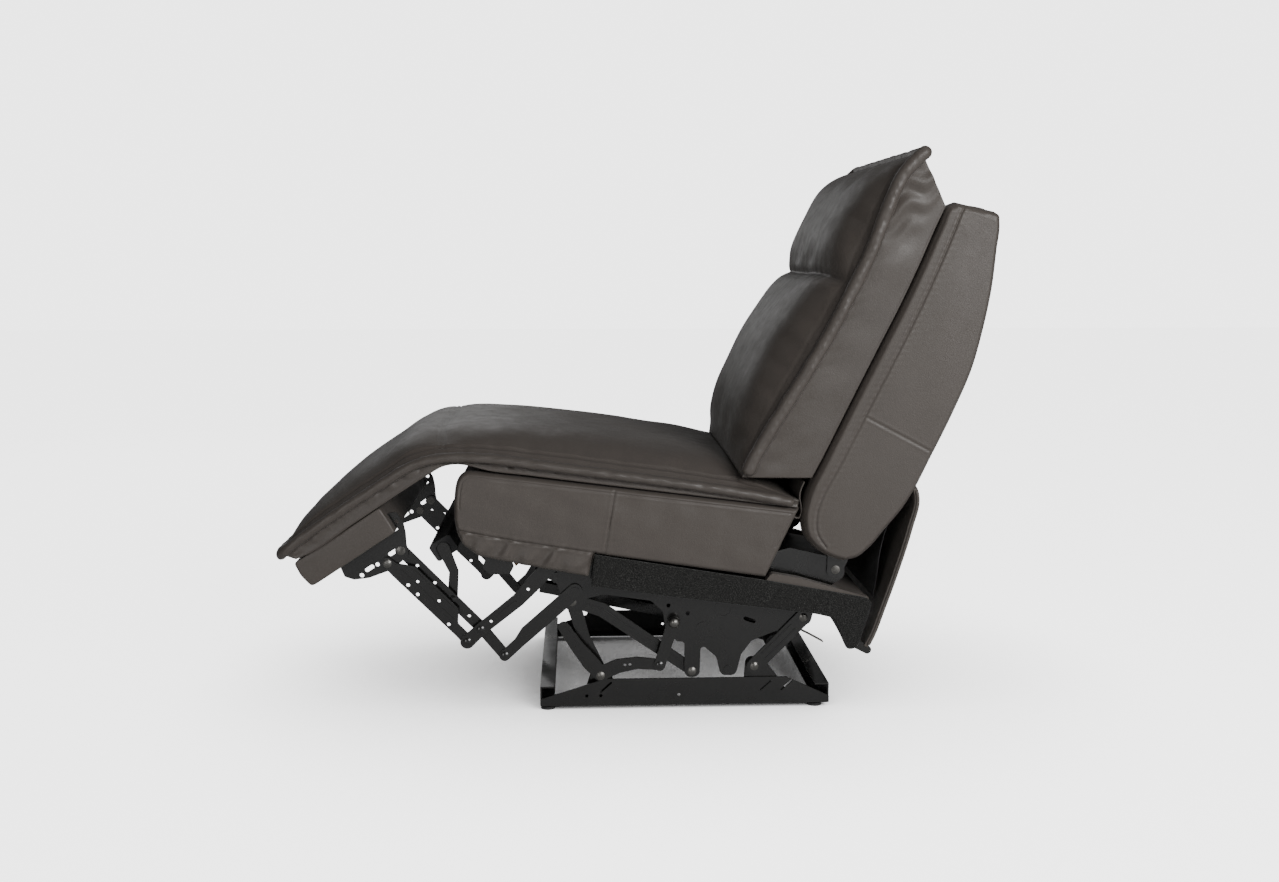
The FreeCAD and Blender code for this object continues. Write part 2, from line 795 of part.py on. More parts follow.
def skirt_batten():
    """Steel strip that carries the felt skirt from the seat plate's tail."""
    points = [in_seat(560, -150), in_seat(700, -158), in_seat(700, -178), in_seat(560, -172)]
    leaf = plate(points, 3.0, felt_half - felt_thick - 3, 3)
    arm_points = [in_seat(600, -152), in_seat(625, -153), in_seat(625, -173), in_seat(600, -172)]
    arm = plate(arm_points, 3.0, x_strut + 1, felt_half - felt_thick - 4 - x_strut)
    return leaf.fuse(arm).removeSplitter()


def rear_deck():
    """Leather covered shelf behind the seat box, between the seat plates."""
    half = x_strut - cover_gap
    points = [
        in_seat(592, -142), in_seat(796, -154), in_seat(796, -154 - deck_thick),
        in_seat(592, -142 - deck_thick),
    ]
    return plate(points, [4, 6, 4, 2], -half, 2 * half)


def deck_strip():
    """Leather covered strip outside the seat plate, behind the seat box."""
    points = [
        in_seat(592, -141), in_seat(600, -128), in_seat(650, -130), in_seat(796, -152),
        in_seat(796, -160), in_seat(592, -150),
    ]
    return plate(
        points, [3, 8, 20, 3, 2, 2], x_front + link_thick + 3.5,
        felt_half - felt_thick - cover_gap - x_front - link_thick - 3.5,
    )


def panel_lugs():
    """Hinge lugs of the rear drop panel, on the skirts' tabs, with the hinge rod."""
    inside = felt_half - felt_thick - 4.0
    anchor = in_seat(768, -240)
    lug = link([anchor + (10.0,), panel_axis + (8.0,)], inside, 4.0)
    rod = disc(panel_axis, 4.0, -inside, inside)
    return rod.multiFuse([lug, flip(lug)]).removeSplitter()


def build_seat():
    save_pair("seat_plate", seat_plate())
    save_both("tie_links", tie_link())
    save_both("seat_pivot_pins", *seat_pins())
    save_both("plate_bolts", *[plate_bolt(p) for p in plate_bolts()])
    save("seat_cross_tubes", seat_tubes())
    save_both("seat_side_rails", side_rail())
    save_pair("seat_side_cover", side_cover())
    save("seat_front_panel", front_panel())
    save("seat_bottom_board", [bottom_board()] + corner_blocks())
    save("seat_front_rail", front_rail())
    save("spring_boards", list(seat_boards()))
    save("seat_springs", seat_springs())
    save("seat_foam", seat_foam())
    save_both("felt_skirts", felt_skirt())
    save("rear_deck", [rear_deck(), deck_strip(), flip(deck_strip())])
    save("panel_hinge_rod", panel_lugs())


# Chaise pad

def crowned(edge, middle, radii, half, inset):
    """Loft across the chair between an edge outline at both sides and a fuller one in the middle.

    Stations are (share of the half width, share of the crown, pull towards the outline's centre)."""
    stations = [(1.0, 0.0, 0.72), (0.985, 0.08, 0.93), (0.94, 0.34, 1.0), (0.86, 0.6, 1.0), (0.7, 0.85, 1.0),
                (0.45, 0.96, 1.0), (0.0, 1.0, 1.0)]
    wires = []
    for share, full, pull in stations + [(-s, f, p) for s, f, p in reversed(stations[:-1])]:
        outline = [
            (e[0] + full * (m[0] - e[0]), e[1] + full * (m[1] - e[1]))
            for e, m in zip(edge, middle)
        ]
        cy = sum(p[0] for p in outline) / len(outline)
        cz = sum(p[1] for p in outline) / len(outline)
        drawn = []
        for y, z in outline:
            away = hypot(y - cy, z - cz)
            back = min(inset * (1 - pull) / 0.28, away * 0.5)
            drawn.append((y + (cy - y) * back / away, z + (cz - z) * back / away))
        wires.append(rounded_wire(drawn, radii, share * half))
    return Part.makeLoft(wires, True, True)


def seat_pad():
    """Rear part of the chaise pad, on the seat box."""
    top = pad_lift + pad_edge
    end = box_length - 4
    edge = [
        in_seat(knee_start, pad_lift),
        in_seat(knee_start, top),
        in_seat(300, top + 1),
        in_seat(500, top - 1),
        in_seat(end, top - 12),
        in_seat(end, pad_lift),
    ]
    middle = [
        in_seat(knee_start, pad_lift),
        in_seat(knee_start, top + seat_crown),
        in_seat(300, top + seat_crown - 2),
        in_seat(470, top + seat_crown - 12),
        in_seat(end, top - 14),
        in_seat(end, pad_lift),
    ]
    return crowned(edge, middle, [6, 6, 60, 60, 8, 6], pad_half, 5.0)


def leg_pad():
    """Front part of the chaise pad, on the footrest board, drawn to a point at the toe."""
    under = leg_gap + cover_gap
    edge = [
        in_leg(leg_start, under),
        in_leg(leg_start, under + leg_edge),
        in_leg(260, under + leg_edge + 1),
        in_leg(toe_end - 14, under + leg_edge - 3),
        in_leg(toe_end, under + leg_edge - 10),
        in_leg(toe_end - 20, under + 8),
        in_leg(toe_end - 34, under),
    ]
    middle = [
        in_leg(leg_start, under),
        in_leg(leg_start, under + leg_edge + leg_crown),
        in_leg(270, under + leg_edge + leg_crown - 4),
        in_leg(toe_end - 22, under + leg_edge + leg_crown - 22),
        in_leg(toe_end, under + leg_edge - 6),
        in_leg(toe_end - 18, under + 9),
        in_leg(toe_end - 34, under),
    ]
    return crowned(edge, middle, [6, 6, 50, 16, 6, 6, 10], pad_half, 5.0)


def knee_pad():
    """Bending part of the chaise pad between the seat and the leg rest."""
    gap = 0.4
    top = pad_lift + pad_edge
    under = leg_gap + cover_gap
    bend_low = in_leg(40, leg_gap + 8)
    edge = [
        in_seat(knee_start - gap, pad_lift),
        in_seat(knee_start - gap, top),
        in_leg(leg_start / 2, under + leg_edge + 4),
        in_leg(leg_start - gap, under + leg_edge),
        in_leg(leg_start - gap, under),
        bend_low,
    ]
    middle = [
        in_seat(knee_start - gap, pad_lift),
        in_seat(knee_start - gap, top + seat_crown),
        in_leg(leg_start / 2 - 8, under + leg_edge + leg_crown + 8),
        in_leg(leg_start - gap, under + leg_edge + leg_crown),
        in_leg(leg_start - gap, under),
        bend_low,
    ]
    return crowned(edge, middle, [4, 4, 70, 4, 4, 30], pad_half, 5.0)


# Footrest

def footrest_board():
    """Leather covered wooden footrest board."""
    rear, front = board_start, board_start + board_length
    low, top = leg_gap - board_thick, leg_gap
    shape = plate(
        [
            in_leg(rear, top), in_leg(front, top), in_leg(front + 4, (low + top) / 2),
            in_leg(front - 2, low), in_leg(rear, low),
        ],
        [3, 6, 20, 6, 3],
        -board_half,
        2 * board_half,
    )
    return shape


def footrest_bracket():
    """Pierced steel bracket: upright plate below the board and a flange screwed to it."""
    low = leg_gap - board_thick - 0.1
    fr, ff = (185.3, -31.5), (220.2, -37.4)
    points = [
        (300, low), (304, -14), (292, -29), (266, -42), (ff[0] + 6, ff[1] - 14),
        (ff[0] - 14, ff[1] - 14),
        (fr[0] - 8, fr[1] - 15), (fr[0] - 17, fr[1] + 6), (158, -8), (150, 12), (150, 36),
        (board_start - 1.0, 44), (board_start - 1.0, low),
    ]
    shape = plate(
        [in_leg(*p) for p in points], [3, 6, 8, 10, 13, 10, 12, 10, 10, 10, 5, 3, 0.5], x_mid,
        link_thick,
    )
    flange_points = [in_leg(180, low), in_leg(298, low), in_leg(298, low - 3), in_leg(180, low - 3)]
    flange = plate(flange_points, 0.8, x_mid - 26, 27)
    shape = shape.fuse(flange).removeSplitter()
    slots = []
    for run, up in ((255, -27), (200, -26)):
        slots.append(
            link(
                [in_leg(run + 6, up) + (4.2,), in_leg(run - 6, up) + (4.2,)], x_mid - 1, link_thick + 2,
            ),
        )
    shape = shape.cut(Part.makeCompound(slots))
    holes = [(in_leg(275, -30), 4.4), (in_leg(238, -29), 4.2), (in_leg(160, 20), 4.0)]
    holes += [(foot_rear, pin_radius + pin_press), (foot_front, pin_radius + pin_press)]
    return drill(shape, holes, x_mid, link_thick)


def footrest_pins():
    front = pin(foot_front, x_mid, x_front + link_thick, [(x_mid + link_thick, x_front)])
    rear = pin(foot_rear, x_strut, x_mid + link_thick, [(x_strut + link_thick, x_mid)], head=head_thick)
    return [front, rear]


def build_footrest():
    save("seat_pad", seat_pad())
    save("knee_pad", knee_pad())
    save("leg_pad", leg_pad())
    save("footrest_board", footrest_board())
    save_both("footrest_brackets", footrest_bracket())
    save_both("footrest_pins", *footrest_pins())


# Leg rest linkage

def main_arm():
    """Cranked arm from the seat plate to the knee, with a boss that reaches the toe pivot."""
    bend = along(seat_front, knee, 0.5, 7.0)
    stations = [
        seat_front + (15.0,), along(seat_front, bend, 0.55) + (15.0,), bend + (13.0,), knee + (12.0,),
        toe_pivot + (13.5,),
    ]
    arm = link(stations, x_outer, link_thick)
    rib = link(
        [along(bend, knee, 0.08) + (3.0,), along(bend, knee, 0.5) + (3.0,)], x_outer + link_thick - 0.2,
        emboss + 0.2,
    )
    arm = arm.fuse(rib).removeSplitter()
    holes = [(seat_front, hole()), (knee, pin_radius + pin_press), (toe_pivot, pin_radius + pin_press)]
    holes += [(along(bend, knee, 0.72), 3.0), (along(seat_front, bend, 0.7), 3.0)]
    return drill(arm, holes, x_outer, link_thick)


def arm_pins():
    at_knee = pin(knee, x_strut, x_outer + link_thick, [(x_strut + link_thick, x_outer)])
    at_toe = pin(toe_pivot, x_front, x_outer + link_thick, [(x_front + link_thick, x_outer)])
    return [at_knee, at_toe]


def front_strut():
    """Wide ribbed strut from the footrest bracket to the toe pivot."""
    start, end = foot_front, toe_pivot
    run = hypot(end[0] - start[0], end[1] - start[1])

    def spot(u, v):
        return along(start, end, u / run, v)

    outline = [spot(-12, -8), spot(22, -10), spot(run - 22, -8), spot(run + 12, -10),
               spot(run + 12, 8), spot(run - 6, 12),
               spot(run - 38, 12), spot(run - 58, 34), spot(42, 34), spot(12, 13), spot(-12, 9)]
    shape = plate(outline, [9, 30, 30, 11, 10, 10, 8, 10, 14, 14, 9], x_front, link_thick)
    face = x_front + link_thick - 0.2
    ribs = [
        link([spot(30, 8) + (3.2,), spot(run - 50, 10) + (3.2,)], face, emboss + 0.2),
        link([spot(46, 27) + (2.0,), spot(run - 66, 27) + (2.0,)], face, emboss + 0.2),
    ]
    shape = shape.multiFuse(ribs).removeSplitter()
    holes = [(start, hole()), (end, hole()), (spot(66, 16), 3.0), (spot(122, 18), 3.2)]
    holes += [(spot(u, -2), 3.6) for u in (58, 84, 168)]
    return drill(shape, holes, x_front, link_thick)


def rear_strut():
    """Narrow strut from the footrest bracket through the knee to the drive link."""
    stations = [foot_rear + (12.0,), knee + (11.5,), strut_end + (10.5,)]
    bar = link(stations, x_strut, link_thick)
    holes = [
        (foot_rear, hole()), (knee, hole()), (flip_base, pin_radius + pin_press),
        (strut_end, pin_radius + pin_press),
    ]
    holes += [(along(foot_rear, knee, share), 3.2) for share in (0.2, 0.42, 0.85)]
    return drill(bar, holes, x_strut, link_thick)


def strut_pins():
    low = pin(strut_end, x_strut, x_mid + link_thick, [(x_strut + link_thick, x_mid)])
    flipper = pin(
        flip_base, x_tie, x_strut + link_thick, [(x_tie + link_thick, x_strut)], head=head_thick,
    )
    return [low, flipper]


def drive_link():
    """Flat link from the drive tube to the tail of the rear strut."""
    stations = [
        strut_end + (10.5,), along(strut_end, seat_drive, 0.2) + (10.5,),
        along(strut_end, seat_drive, 0.34, 3.0) + (14.5,), seat_drive + (14.5,),
    ]
    bar = link(stations, x_mid, link_thick)
    return drill(bar, [(strut_end, hole()), (seat_drive, pin_radius + pin_press)], x_mid, link_thick)


def drive_tube():
    """Torque tube between the drive links, with two slotted crank arms at the middle."""
    middle = tube(seat_drive, tube_radius, -x_ear + 3, x_ear - 3)
    plug = disc(seat_drive, tube_radius - tube_wall, x_ear - 30, x_ear - 3)
    stub = disc(seat_drive, pin_radius, x_ear - 30, x_mid + link_thick)
    cap = disc(seat_drive, head_radius, x_mid + link_thick, x_mid + link_thick + head_thick)
    spacer = disc(seat_drive, collar_radius, x_strut + link_thick + collar_play, x_mid - collar_play)
    end = stub.multiFuse([plug, cap, spacer]).removeSplitter()
    a = radians(screw_slope + crank_rest)
    near_reach = crank_drop - 0.5
    far_reach = crank_drop / cos(radians(crank_swing)) + 0.5
    near = (seat_drive[0] + sin(a) * near_reach, seat_drive[1] - cos(a) * near_reach)
    far = (seat_drive[0] + sin(a) * far_reach, seat_drive[1] - cos(a) * far_reach)
    arm = link([seat_drive + (18.0,), far + (crank_half,)], crank_inner, crank_thick)
    arm = arm.cut(disc(seat_drive, tube_radius - tube_wall, 0, crank_inner + crank_thick + 1))
    slot = link([near + (crank_slot,), far + (crank_slot,)], crank_inner - 1, crank_thick + 2)
    arm = arm.cut(slot)
    return middle.multiFuse([end, flip(end), arm, flip(arm)]).removeSplitter()


def flipper_link():
    """Bent link that swings the middle bar of the leg rest."""
    top = bar_centre()
    middle = along(flip_base, top, 0.52, -12.0)
    stations = [flip_base + (10.0,), middle + (9.0,), top + (12.0,)]
    return drill(link(stations, x_tie, link_thick), [(flip_base, hole())], x_tie, link_thick)


def bar_centre():
    return (flip_base[0] - 16.0, flip_base[1] + 99.0)


def middle_bar():
    """Cloth covered cross bar under the knee of the pad."""
    cy, cz = bar_centre()
    a = radians(leg_slope)
    wide, deep = 24.0, 18.0
    corners = [(wide, deep), (-wide, deep), (-wide, -deep), (wide, -deep)]
    points = [(cy + u * cos(a) - v * sin(a), cz + u * sin(a) + v * cos(a)) for u, v in corners]
    return plate(points, 6.0, -x_tie, 2 * x_tie)


def build_linkage():
    save_both("main_arms", main_arm(), *arm_pins())
    save_both("front_struts", front_strut())
    save_both("rear_struts", rear_strut(), *strut_pins())
    save_both("drive_links", drive_link())
    save("drive_tube", drive_tube())
    save("middle_bar", middle_bar())
    save_both("flipper_links", flipper_link())


# Back

back_front = [(322.6, 381.0), (442.0, 563.0), (532.0, 790.0), (583.0, 984.0)]
back_rear = [
    (590.0, 993.0), (630.0, 991.0), (686.0, 971.0), (674.0, 827.0), (641.0, 676.0), (569.0, 514.0),
    (513.0, 407.0), (448.0, 326.0), (399.0, 304.0), (336.0, 338.0),
]


def back_side():
    """Padded leather covered side board of the back."""
    points = back_front + back_rear
    radii = [20, 60, 90, 14, 12, 12, 10, 200, 300, 300, 90, 40, 26, 26]
    shape = plate(points, radii, back_half - side_board, side_board)
    rim = [e for e in shape.Edges if all(abs(v.X - back_half) < 0.01 for v in e.Vertexes)]
    return shape.makeFillet(8.0, rim)


def offset_path(points, distance):
    """Same path moved to its left, mitred at the corners."""
    moved = []
    last = len(points) - 1
    for i, (y, z) in enumerate(points):
        a = points[max(i - 1, 0)]
        b = points[min(i + 1, last)]
        run = hypot(b[0] - a[0], b[1] - a[1])
        moved.append((y - distance * (b[1] - a[1]) / run, z + distance * (b[0] - a[0]) / run))
    return moved


def back_cover():
    """Leather rear wall and top of the back, between the side boards."""
    path = [
        (592.0, 992.0), (630.0, 990.0), (684.0, 969.0), (673.0, 827.0), (640.0, 676.0), (568.0, 515.0),
        (512.0, 409.0), (449.0, 329.0),
    ]
    inner = offset_path(path, -back_panel)
    half = back_half - side_board - cover_gap
    points = path + list(reversed(inner))
    radii = [4, 20, 14, 200, 300, 300, 90, 4] + [4, 90, 300, 300, 200, 4, 10, 4]
    return plate(points, radii, -half, 2 * half)


def back_rails():
    """Wooden cross rails of the back frame."""
    half = back_half - side_board - cover_gap
    low_half = x_mid - cover_gap
    places = (
        (half, 598.0, 618.0, 900.0, 960.0), (half, 556.0, 576.0, 660.0, 710.0),
        (low_half, 424.0, 444.0, 400.0, 450.0),
    )
    return [brick(-reach, reach, y0, y1, z0, z1) for reach, y0, y1, z0, z1 in places]


def back_bracket():
    """Steel hinge plate screwed inside each side board of the back."""
    points = [
        (hinge_y - 17, hinge_z - 12), (hinge_y + 4, hinge_z - 18), (hinge_y + 18, hinge_z + 6),
        (438, 352), (470, 430), (440, 448), (392, 388), (hinge_y - 16, hinge_z + 46),
    ]
    shape = plate(points, [14, 14, 14, 20, 12, 12, 20, 20], x_mid, link_thick)
    return drill(shape, [(hinge, hole()), ((445, 420), 4.0), ((420, 372), 4.0)], x_mid, link_thick)


def lumbar_cushion():
    """Lower back cushion with a rolled edge, deepest in the middle."""
    behind = offset_path(back_front, 0.9)
    rear = [(547, 857.0), behind[2], behind[1], (382, 486), (322, 462)]
    edge = [(204, 466), (246, 545), (300, 641), (362, 735), (418, 838)] + rear
    middle = [(182, 499), (190, 575), (226, 660), (270, 752), (350, 857)] + rear
    return crowned(edge, middle, [12, 60, 90, 90, 12, 8, 90, 60, 30, 12], pad_half, 6.0)


def head_cushion():
    """Upper back cushion, with raised ears at its top corners."""
    behind = offset_path(back_front, 0.9)
    rear = [behind[3], (566, 930), (548, 858.5)]
    edge = [(418.5, 839), (455, 886), (500, 985), (532, 1086), (541, 1097), (556, 1076)] + rear
    middle = [(350.5, 858.5), (360, 905), (398, 985), (452, 1052), (520, 1082), (550, 1066)] + rear
    return crowned(edge, middle, [12, 50, 60, 14, 6, 12, 10, 40, 8], pad_half, 5.0)


def back_flap():
    """Loose leather flap folded between the seat pad and the back cushion."""
    path = [
        in_seat(box_length - 3.5, 26), in_seat(box_length - 3.5, 10), (317, 398), (330, 402),
        (337, 430), (345, 468),
    ]
    inner = offset_path(path, 2.5)
    return plate(
        path + list(reversed(inner)), [1, 10, 8, 8, 30, 1, 1, 30, 8, 8, 10, 1], -x_ply - 8,
        2 * x_ply + 16,
    )


def dust_cloth():
    """Thin black cloth from the rear deck up to the back."""
    low = in_seat(798.4, -166)
    path = [low, (476, 300), (500.3, 390.7)]
    inner = offset_path(path, 1.6)
    return plate(path + list(reversed(inner)), [0.5, 60, 0.5, 0.5, 60, 0.5], -270.0, 540.0)


def rear_panel():
    """Curved leather covered drop panel behind the back."""
    outer = [(540, 452), (548, 428), (532, 360), (505, 270), (478, 190), (460, 138)]
    thick = 13.0
    inner = offset_path(outer, -thick)
    inner[0] = (538.5, 447)
    points = outer + list(reversed(inner))
    half = felt_half
    shape = plate(points, [6, 10, 200, 200, 200, 4, 4, 200, 200, 200, 14, 4], -half, 2 * half)
    knuckle_half = felt_half - felt_thick - 7.0
    knuckle = disc(panel_axis, 9.0, -knuckle_half, knuckle_half)
    bridge = plate(
        [(panel_y - 2, panel_z + 4), (panel_y + 9, panel_z), (462, 146), (448, 150)], 1.0,
        -knuckle_half, 2 * knuckle_half,
    )
    shape = shape.multiFuse([knuckle, bridge]).removeSplitter()
    clear = []
    for x0, x1 in ((knuckle_half, half + 1), (-half - 1, -knuckle_half)):
        clear.append(brick(x0, x1, panel_y - 30, panel_y + 40, panel_z - 20, panel_z + 22))
    clear.append(disc(panel_axis, 4.0 + pin_play, -half, half))
    return shape.cut(Part.makeCompound(clear))


def build_back():
    save_pair("back_side", back_side())
    save("back_cover", back_cover())
    save("back_rails", back_rails())
    save_both("back_brackets", back_bracket())
    save("lumbar_cushion", lumbar_cushion())
    save("head_cushion", head_cushion())
    save("back_flap", back_flap())
    save("dust_cloth", dust_cloth())
    save("rear_panel", rear_panel())


# Actuator

def screw_rail():
    """Steel channel of the linear actuator, open upwards, with its lead screw tube."""
    start, end = -62.0, motor_run
    low = -8.0 - screw_height
    outer = plate(
        [in_screw(start, low), in_screw(end, low), in_screw(end, -8), in_screw(start, -8)], 0.8,
        -screw_width / 2, screw_width,
    )
    inside = plate(
        [
            in_screw(start - 5, low + screw_wall), in_screw(end + 5, low + screw_wall),
            in_screw(end + 5, 0), in_screw(start - 5, 0),
        ],
        0.8,
        -screw_width / 2 + screw_wall,
        screw_width - 2 * screw_wall,
    )
    return outer.cut(inside)


def screw_rod():
    a = radians(screw_slope)
    start, end = -58.0, motor_run
    y, z = in_screw(start, -8 - screw_height / 2)
    return Part.makeCylinder(4.0, end - start, Vec(0, y, z), Vec(0, cos(a), sin(a)))


def slide_block():
    """Plastic nut block on the lead screw, with a pin through the slots of the crank arms."""
    rest = slide_per_degree * crank_rest
    low = -8.0 - screw_height + screw_wall + 0.3
    inner_half = screw_width / 2 - screw_wall - 0.3
    points = [
        in_screw(rest - 16, low), in_screw(rest + 16, low), in_screw(rest + 16, -6),
        in_screw(rest + 9, 9), in_screw(rest - 9, 9), in_screw(rest - 16, -6),
    ]
    body = plate(points, [1.5, 1.5, 4, 8, 8, 4], -inner_half, 2 * inner_half)
    reach = crank_inner + crank_thick
    rod = disc(in_screw(rest, 0), crank_pin, -reach - 2, reach + 2)
    ends = [
        disc(in_screw(rest, 0), crank_slot + 1.5, x0, x0 + 1.5)
        for x0 in (reach + 0.4, -reach - 1.9)
    ]
    a = radians(screw_slope)
    y, z = in_screw(rest - 20, -8 - screw_height / 2)
    bore = Part.makeCylinder(4.0 + pin_play, 40, Vec(0, y, z), Vec(0, cos(a), sin(a)))
    return body.cut(bore).multiFuse([rod] + ends).removeSplitter()


def motor_low():
    return -8.0 - screw_height - 6


def motor_middle_up():
    """Height of the gear housing's centre in the screw's frame."""
    return (motor_low() + 6) / 2


def gear_motor():
    """Motor and gear housing at the rear end of the actuator."""
    start, end = motor_run, motor_run + motor_length
    low = motor_low()
    outline = [in_screw(start, low), in_screw(end, low), in_screw(end, 6), in_screw(start, 6)]
    box = plate(outline, 8.0, -24.0, 48.0)
    y, z = in_screw((start + end) / 2, motor_middle_up())
    can = Part.makeCylinder(can_radius, 96.0, Vec(24, y, z), Vec(1, 0, 0))
    cap = Part.makeCylinder(13.0, 6.0, Vec(120, y, z), Vec(1, 0, 0))
    return box.multiFuse([can, cap]).removeSplitter()


def power_socket():
    """Round inlet for the supply's plug, behind the motor's can, open to the rear."""
    along_screw = motor_run + motor_length / 2 + can_radius + cover_gap
    up = motor_middle_up()
    a = radians(screw_slope)
    way = Vec(0, cos(a), sin(a))
    y, z = in_screw(along_screw, up)
    housing = Part.makeCylinder(socket_radius, socket_length, Vec(socket_side, y, z), way)
    y, z = in_screw(along_screw + socket_length - socket_depth, up)
    bore = Part.makeCylinder(socket_bore, socket_depth + 2, Vec(socket_side, y, z), way)
    return housing.cut(bore)


def release_blade():
    """Thin spring blade with a loop at the rear of the gear housing."""
    root = in_screw(motor_run + motor_length + 0.3, 0)
    path = [
        root, (root[0] + 34, root[1] - 6), (root[0] + 66, root[1] - 22), (root[0] + 98, root[1] - 40),
    ]
    inner = offset_path(path, -2.0)
    blade = plate(path + list(reversed(inner)), [0.5, 20, 30, 0.5, 0.5, 30, 20, 0.5], -8.0, 16.0)
    low = in_screw(motor_run + motor_length + 0.3, -16)
    foot = plate([root, low, (low[0] + 2, low[1]), (root[0] + 2, root[1])], 0.4, -8.0, 16.0)
    return blade.fuse(foot).removeSplitter()


def actuator_hangers():
    """Saddle on the low cross tube and a strap from the front cross tube."""
    run = (saddle_y - in_screw(0, 0)[0]) / cos(radians(screw_slope)) - 12
    low = -8.0 - screw_height
    base = plate(
        [
            in_screw(run - 14, low - 3.0), in_screw(run + 26, low - 3.0), in_screw(run + 26, low - 0.1),
            in_screw(run - 14, low - 0.1),
        ],
        0.8,
        -18.0,
        36.0,
    )
    web = plate(
        [
            (saddle_y - 13, saddle_z - 2), (saddle_y + 13, saddle_z - 2), in_screw(run + 22, low - 1),
            in_screw(run - 8, low - 1),
        ],
        1.0,
        -18.0,
        36.0,
    )
    saddle_block = base.fuse(web).cut(disc(saddle, tube_radius + 0.1, -30, 30)).removeSplitter()
    front_tube = front_tube_centre()
    foot = in_screw(
        (front_tube[0] - in_screw(0, 0)[0]) / cos(radians(screw_slope)), -8 - screw_height / 2,
    )
    straps = []
    for x0 in (-screw_width / 2 - 4.1, screw_width / 2 + 0.1):
        strap = link([front_tube + (16.0,), (foot[0], foot[1], 10.0)], x0, 4.0)
        straps.append(strap.cut(disc(front_tube, tube_radius + 0.1, x0 - 1, x0 + 5)))
    return [saddle_block] + straps


def build_actuator():
    save("actuator_rail", screw_rail())
    save("lead_screw", screw_rod())
    save("slide_block", slide_block())
    save("gear_motor", gear_motor())
    save("power_socket", power_socket())
    save("release_blade", release_blade())
    save("actuator_hangers", actuator_hangers())


build_base()
build_seat_lift()
build_seat()
build_footrest()
build_linkage()
build_back()
build_actuator()
print("leg rest slope at rest", leg_slope, "strut angle", round(degrees(atan2(strut_z, strut_y)), 1))
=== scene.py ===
from math import cos, pi, radians, sin

import bmesh
import bpy
import numpy as np
from mathutils import Matrix, Vector


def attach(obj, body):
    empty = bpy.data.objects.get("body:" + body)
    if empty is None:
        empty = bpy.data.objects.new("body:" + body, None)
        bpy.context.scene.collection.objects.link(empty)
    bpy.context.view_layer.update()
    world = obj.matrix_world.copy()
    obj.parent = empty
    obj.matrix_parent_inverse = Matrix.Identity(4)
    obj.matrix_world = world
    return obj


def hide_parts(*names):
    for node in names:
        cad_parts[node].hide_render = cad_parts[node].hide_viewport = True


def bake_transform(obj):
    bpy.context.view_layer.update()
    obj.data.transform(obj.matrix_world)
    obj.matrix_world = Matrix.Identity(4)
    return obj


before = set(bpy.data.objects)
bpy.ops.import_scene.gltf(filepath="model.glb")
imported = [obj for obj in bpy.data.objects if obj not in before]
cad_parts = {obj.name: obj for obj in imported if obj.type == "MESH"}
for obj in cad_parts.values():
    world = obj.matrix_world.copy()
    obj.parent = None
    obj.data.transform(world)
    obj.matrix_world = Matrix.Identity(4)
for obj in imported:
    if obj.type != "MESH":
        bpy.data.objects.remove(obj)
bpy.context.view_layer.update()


# Steel base: two tapered rails, a channel at each end and the pivot brackets. Pressed sheet steel, dipped in
# gloss black paint, riveted and screwed together on the bench before any link goes on.
def new_material(name):
    """Empty node material with its shader and the object's own coordinates."""
    material = bpy.data.materials.new(name)
    material.use_nodes = True
    tree = material.node_tree
    shader = tree.nodes["Principled BSDF"]
    place = tree.nodes.new("ShaderNodeTexCoord").outputs["Object"]
    return material, tree, shader, place


def feed(tree, shader, colour, roughness):
    """Gives the shader its colour and roughness fields."""
    tree.links.new(colour, shader.inputs["Base Color"])
    tree.links.new(roughness, shader.inputs["Roughness"])


def noise(tree, place, scale, detail=3.0, rough=0.5):
    """Soft random field over the surface, scale in waves per metre."""
    node = tree.nodes.new("ShaderNodeTexNoise")
    node.inputs["Scale"].default_value = scale
    node.inputs["Detail"].default_value = detail
    node.inputs["Roughness"].default_value = rough
    tree.links.new(place, node.inputs["Vector"])
    return node.outputs["Fac"]


def spread(tree, value, low, high, start=0.3, stop=0.7):
    """The field stretched from start..stop to low..high and held inside them."""
    node = tree.nodes.new("ShaderNodeMapRange")
    node.inputs["From Min"].default_value = start
    node.inputs["From Max"].default_value = stop
    node.inputs["To Min"].default_value = low
    node.inputs["To Max"].default_value = high
    tree.links.new(value, node.inputs["Value"])
    return node.outputs["Result"]


def shades(tree, value, stops):
    """Colour from a field through the given (place, colour) stops."""
    node = tree.nodes.new("ShaderNodeValToRGB")
    ramp = node.color_ramp
    while len(ramp.elements) < len(stops):
        ramp.elements.new(0.5)
    for element, (at, colour) in zip(ramp.elements, stops):
        element.position = at
        element.color = (*colour, 1.0)
    tree.links.new(value, node.inputs["Fac"])
    return node.outputs["Color"]


def relief(tree, shader, layers):
    """Bumps laid one on another, each given as (height field, depth in metres, strength)."""
    last = None
    for height, depth, strength in layers:
        node = tree.nodes.new("ShaderNodeBump")
        node.inputs["Distance"].default_value = depth
        node.inputs["Strength"].default_value = strength
        tree.links.new(height, node.inputs["Height"])
        if last:
            tree.links.new(last, node.inputs["Normal"])
        last = node.outputs["Normal"]
    tree.links.new(last, shader.inputs["Normal"])


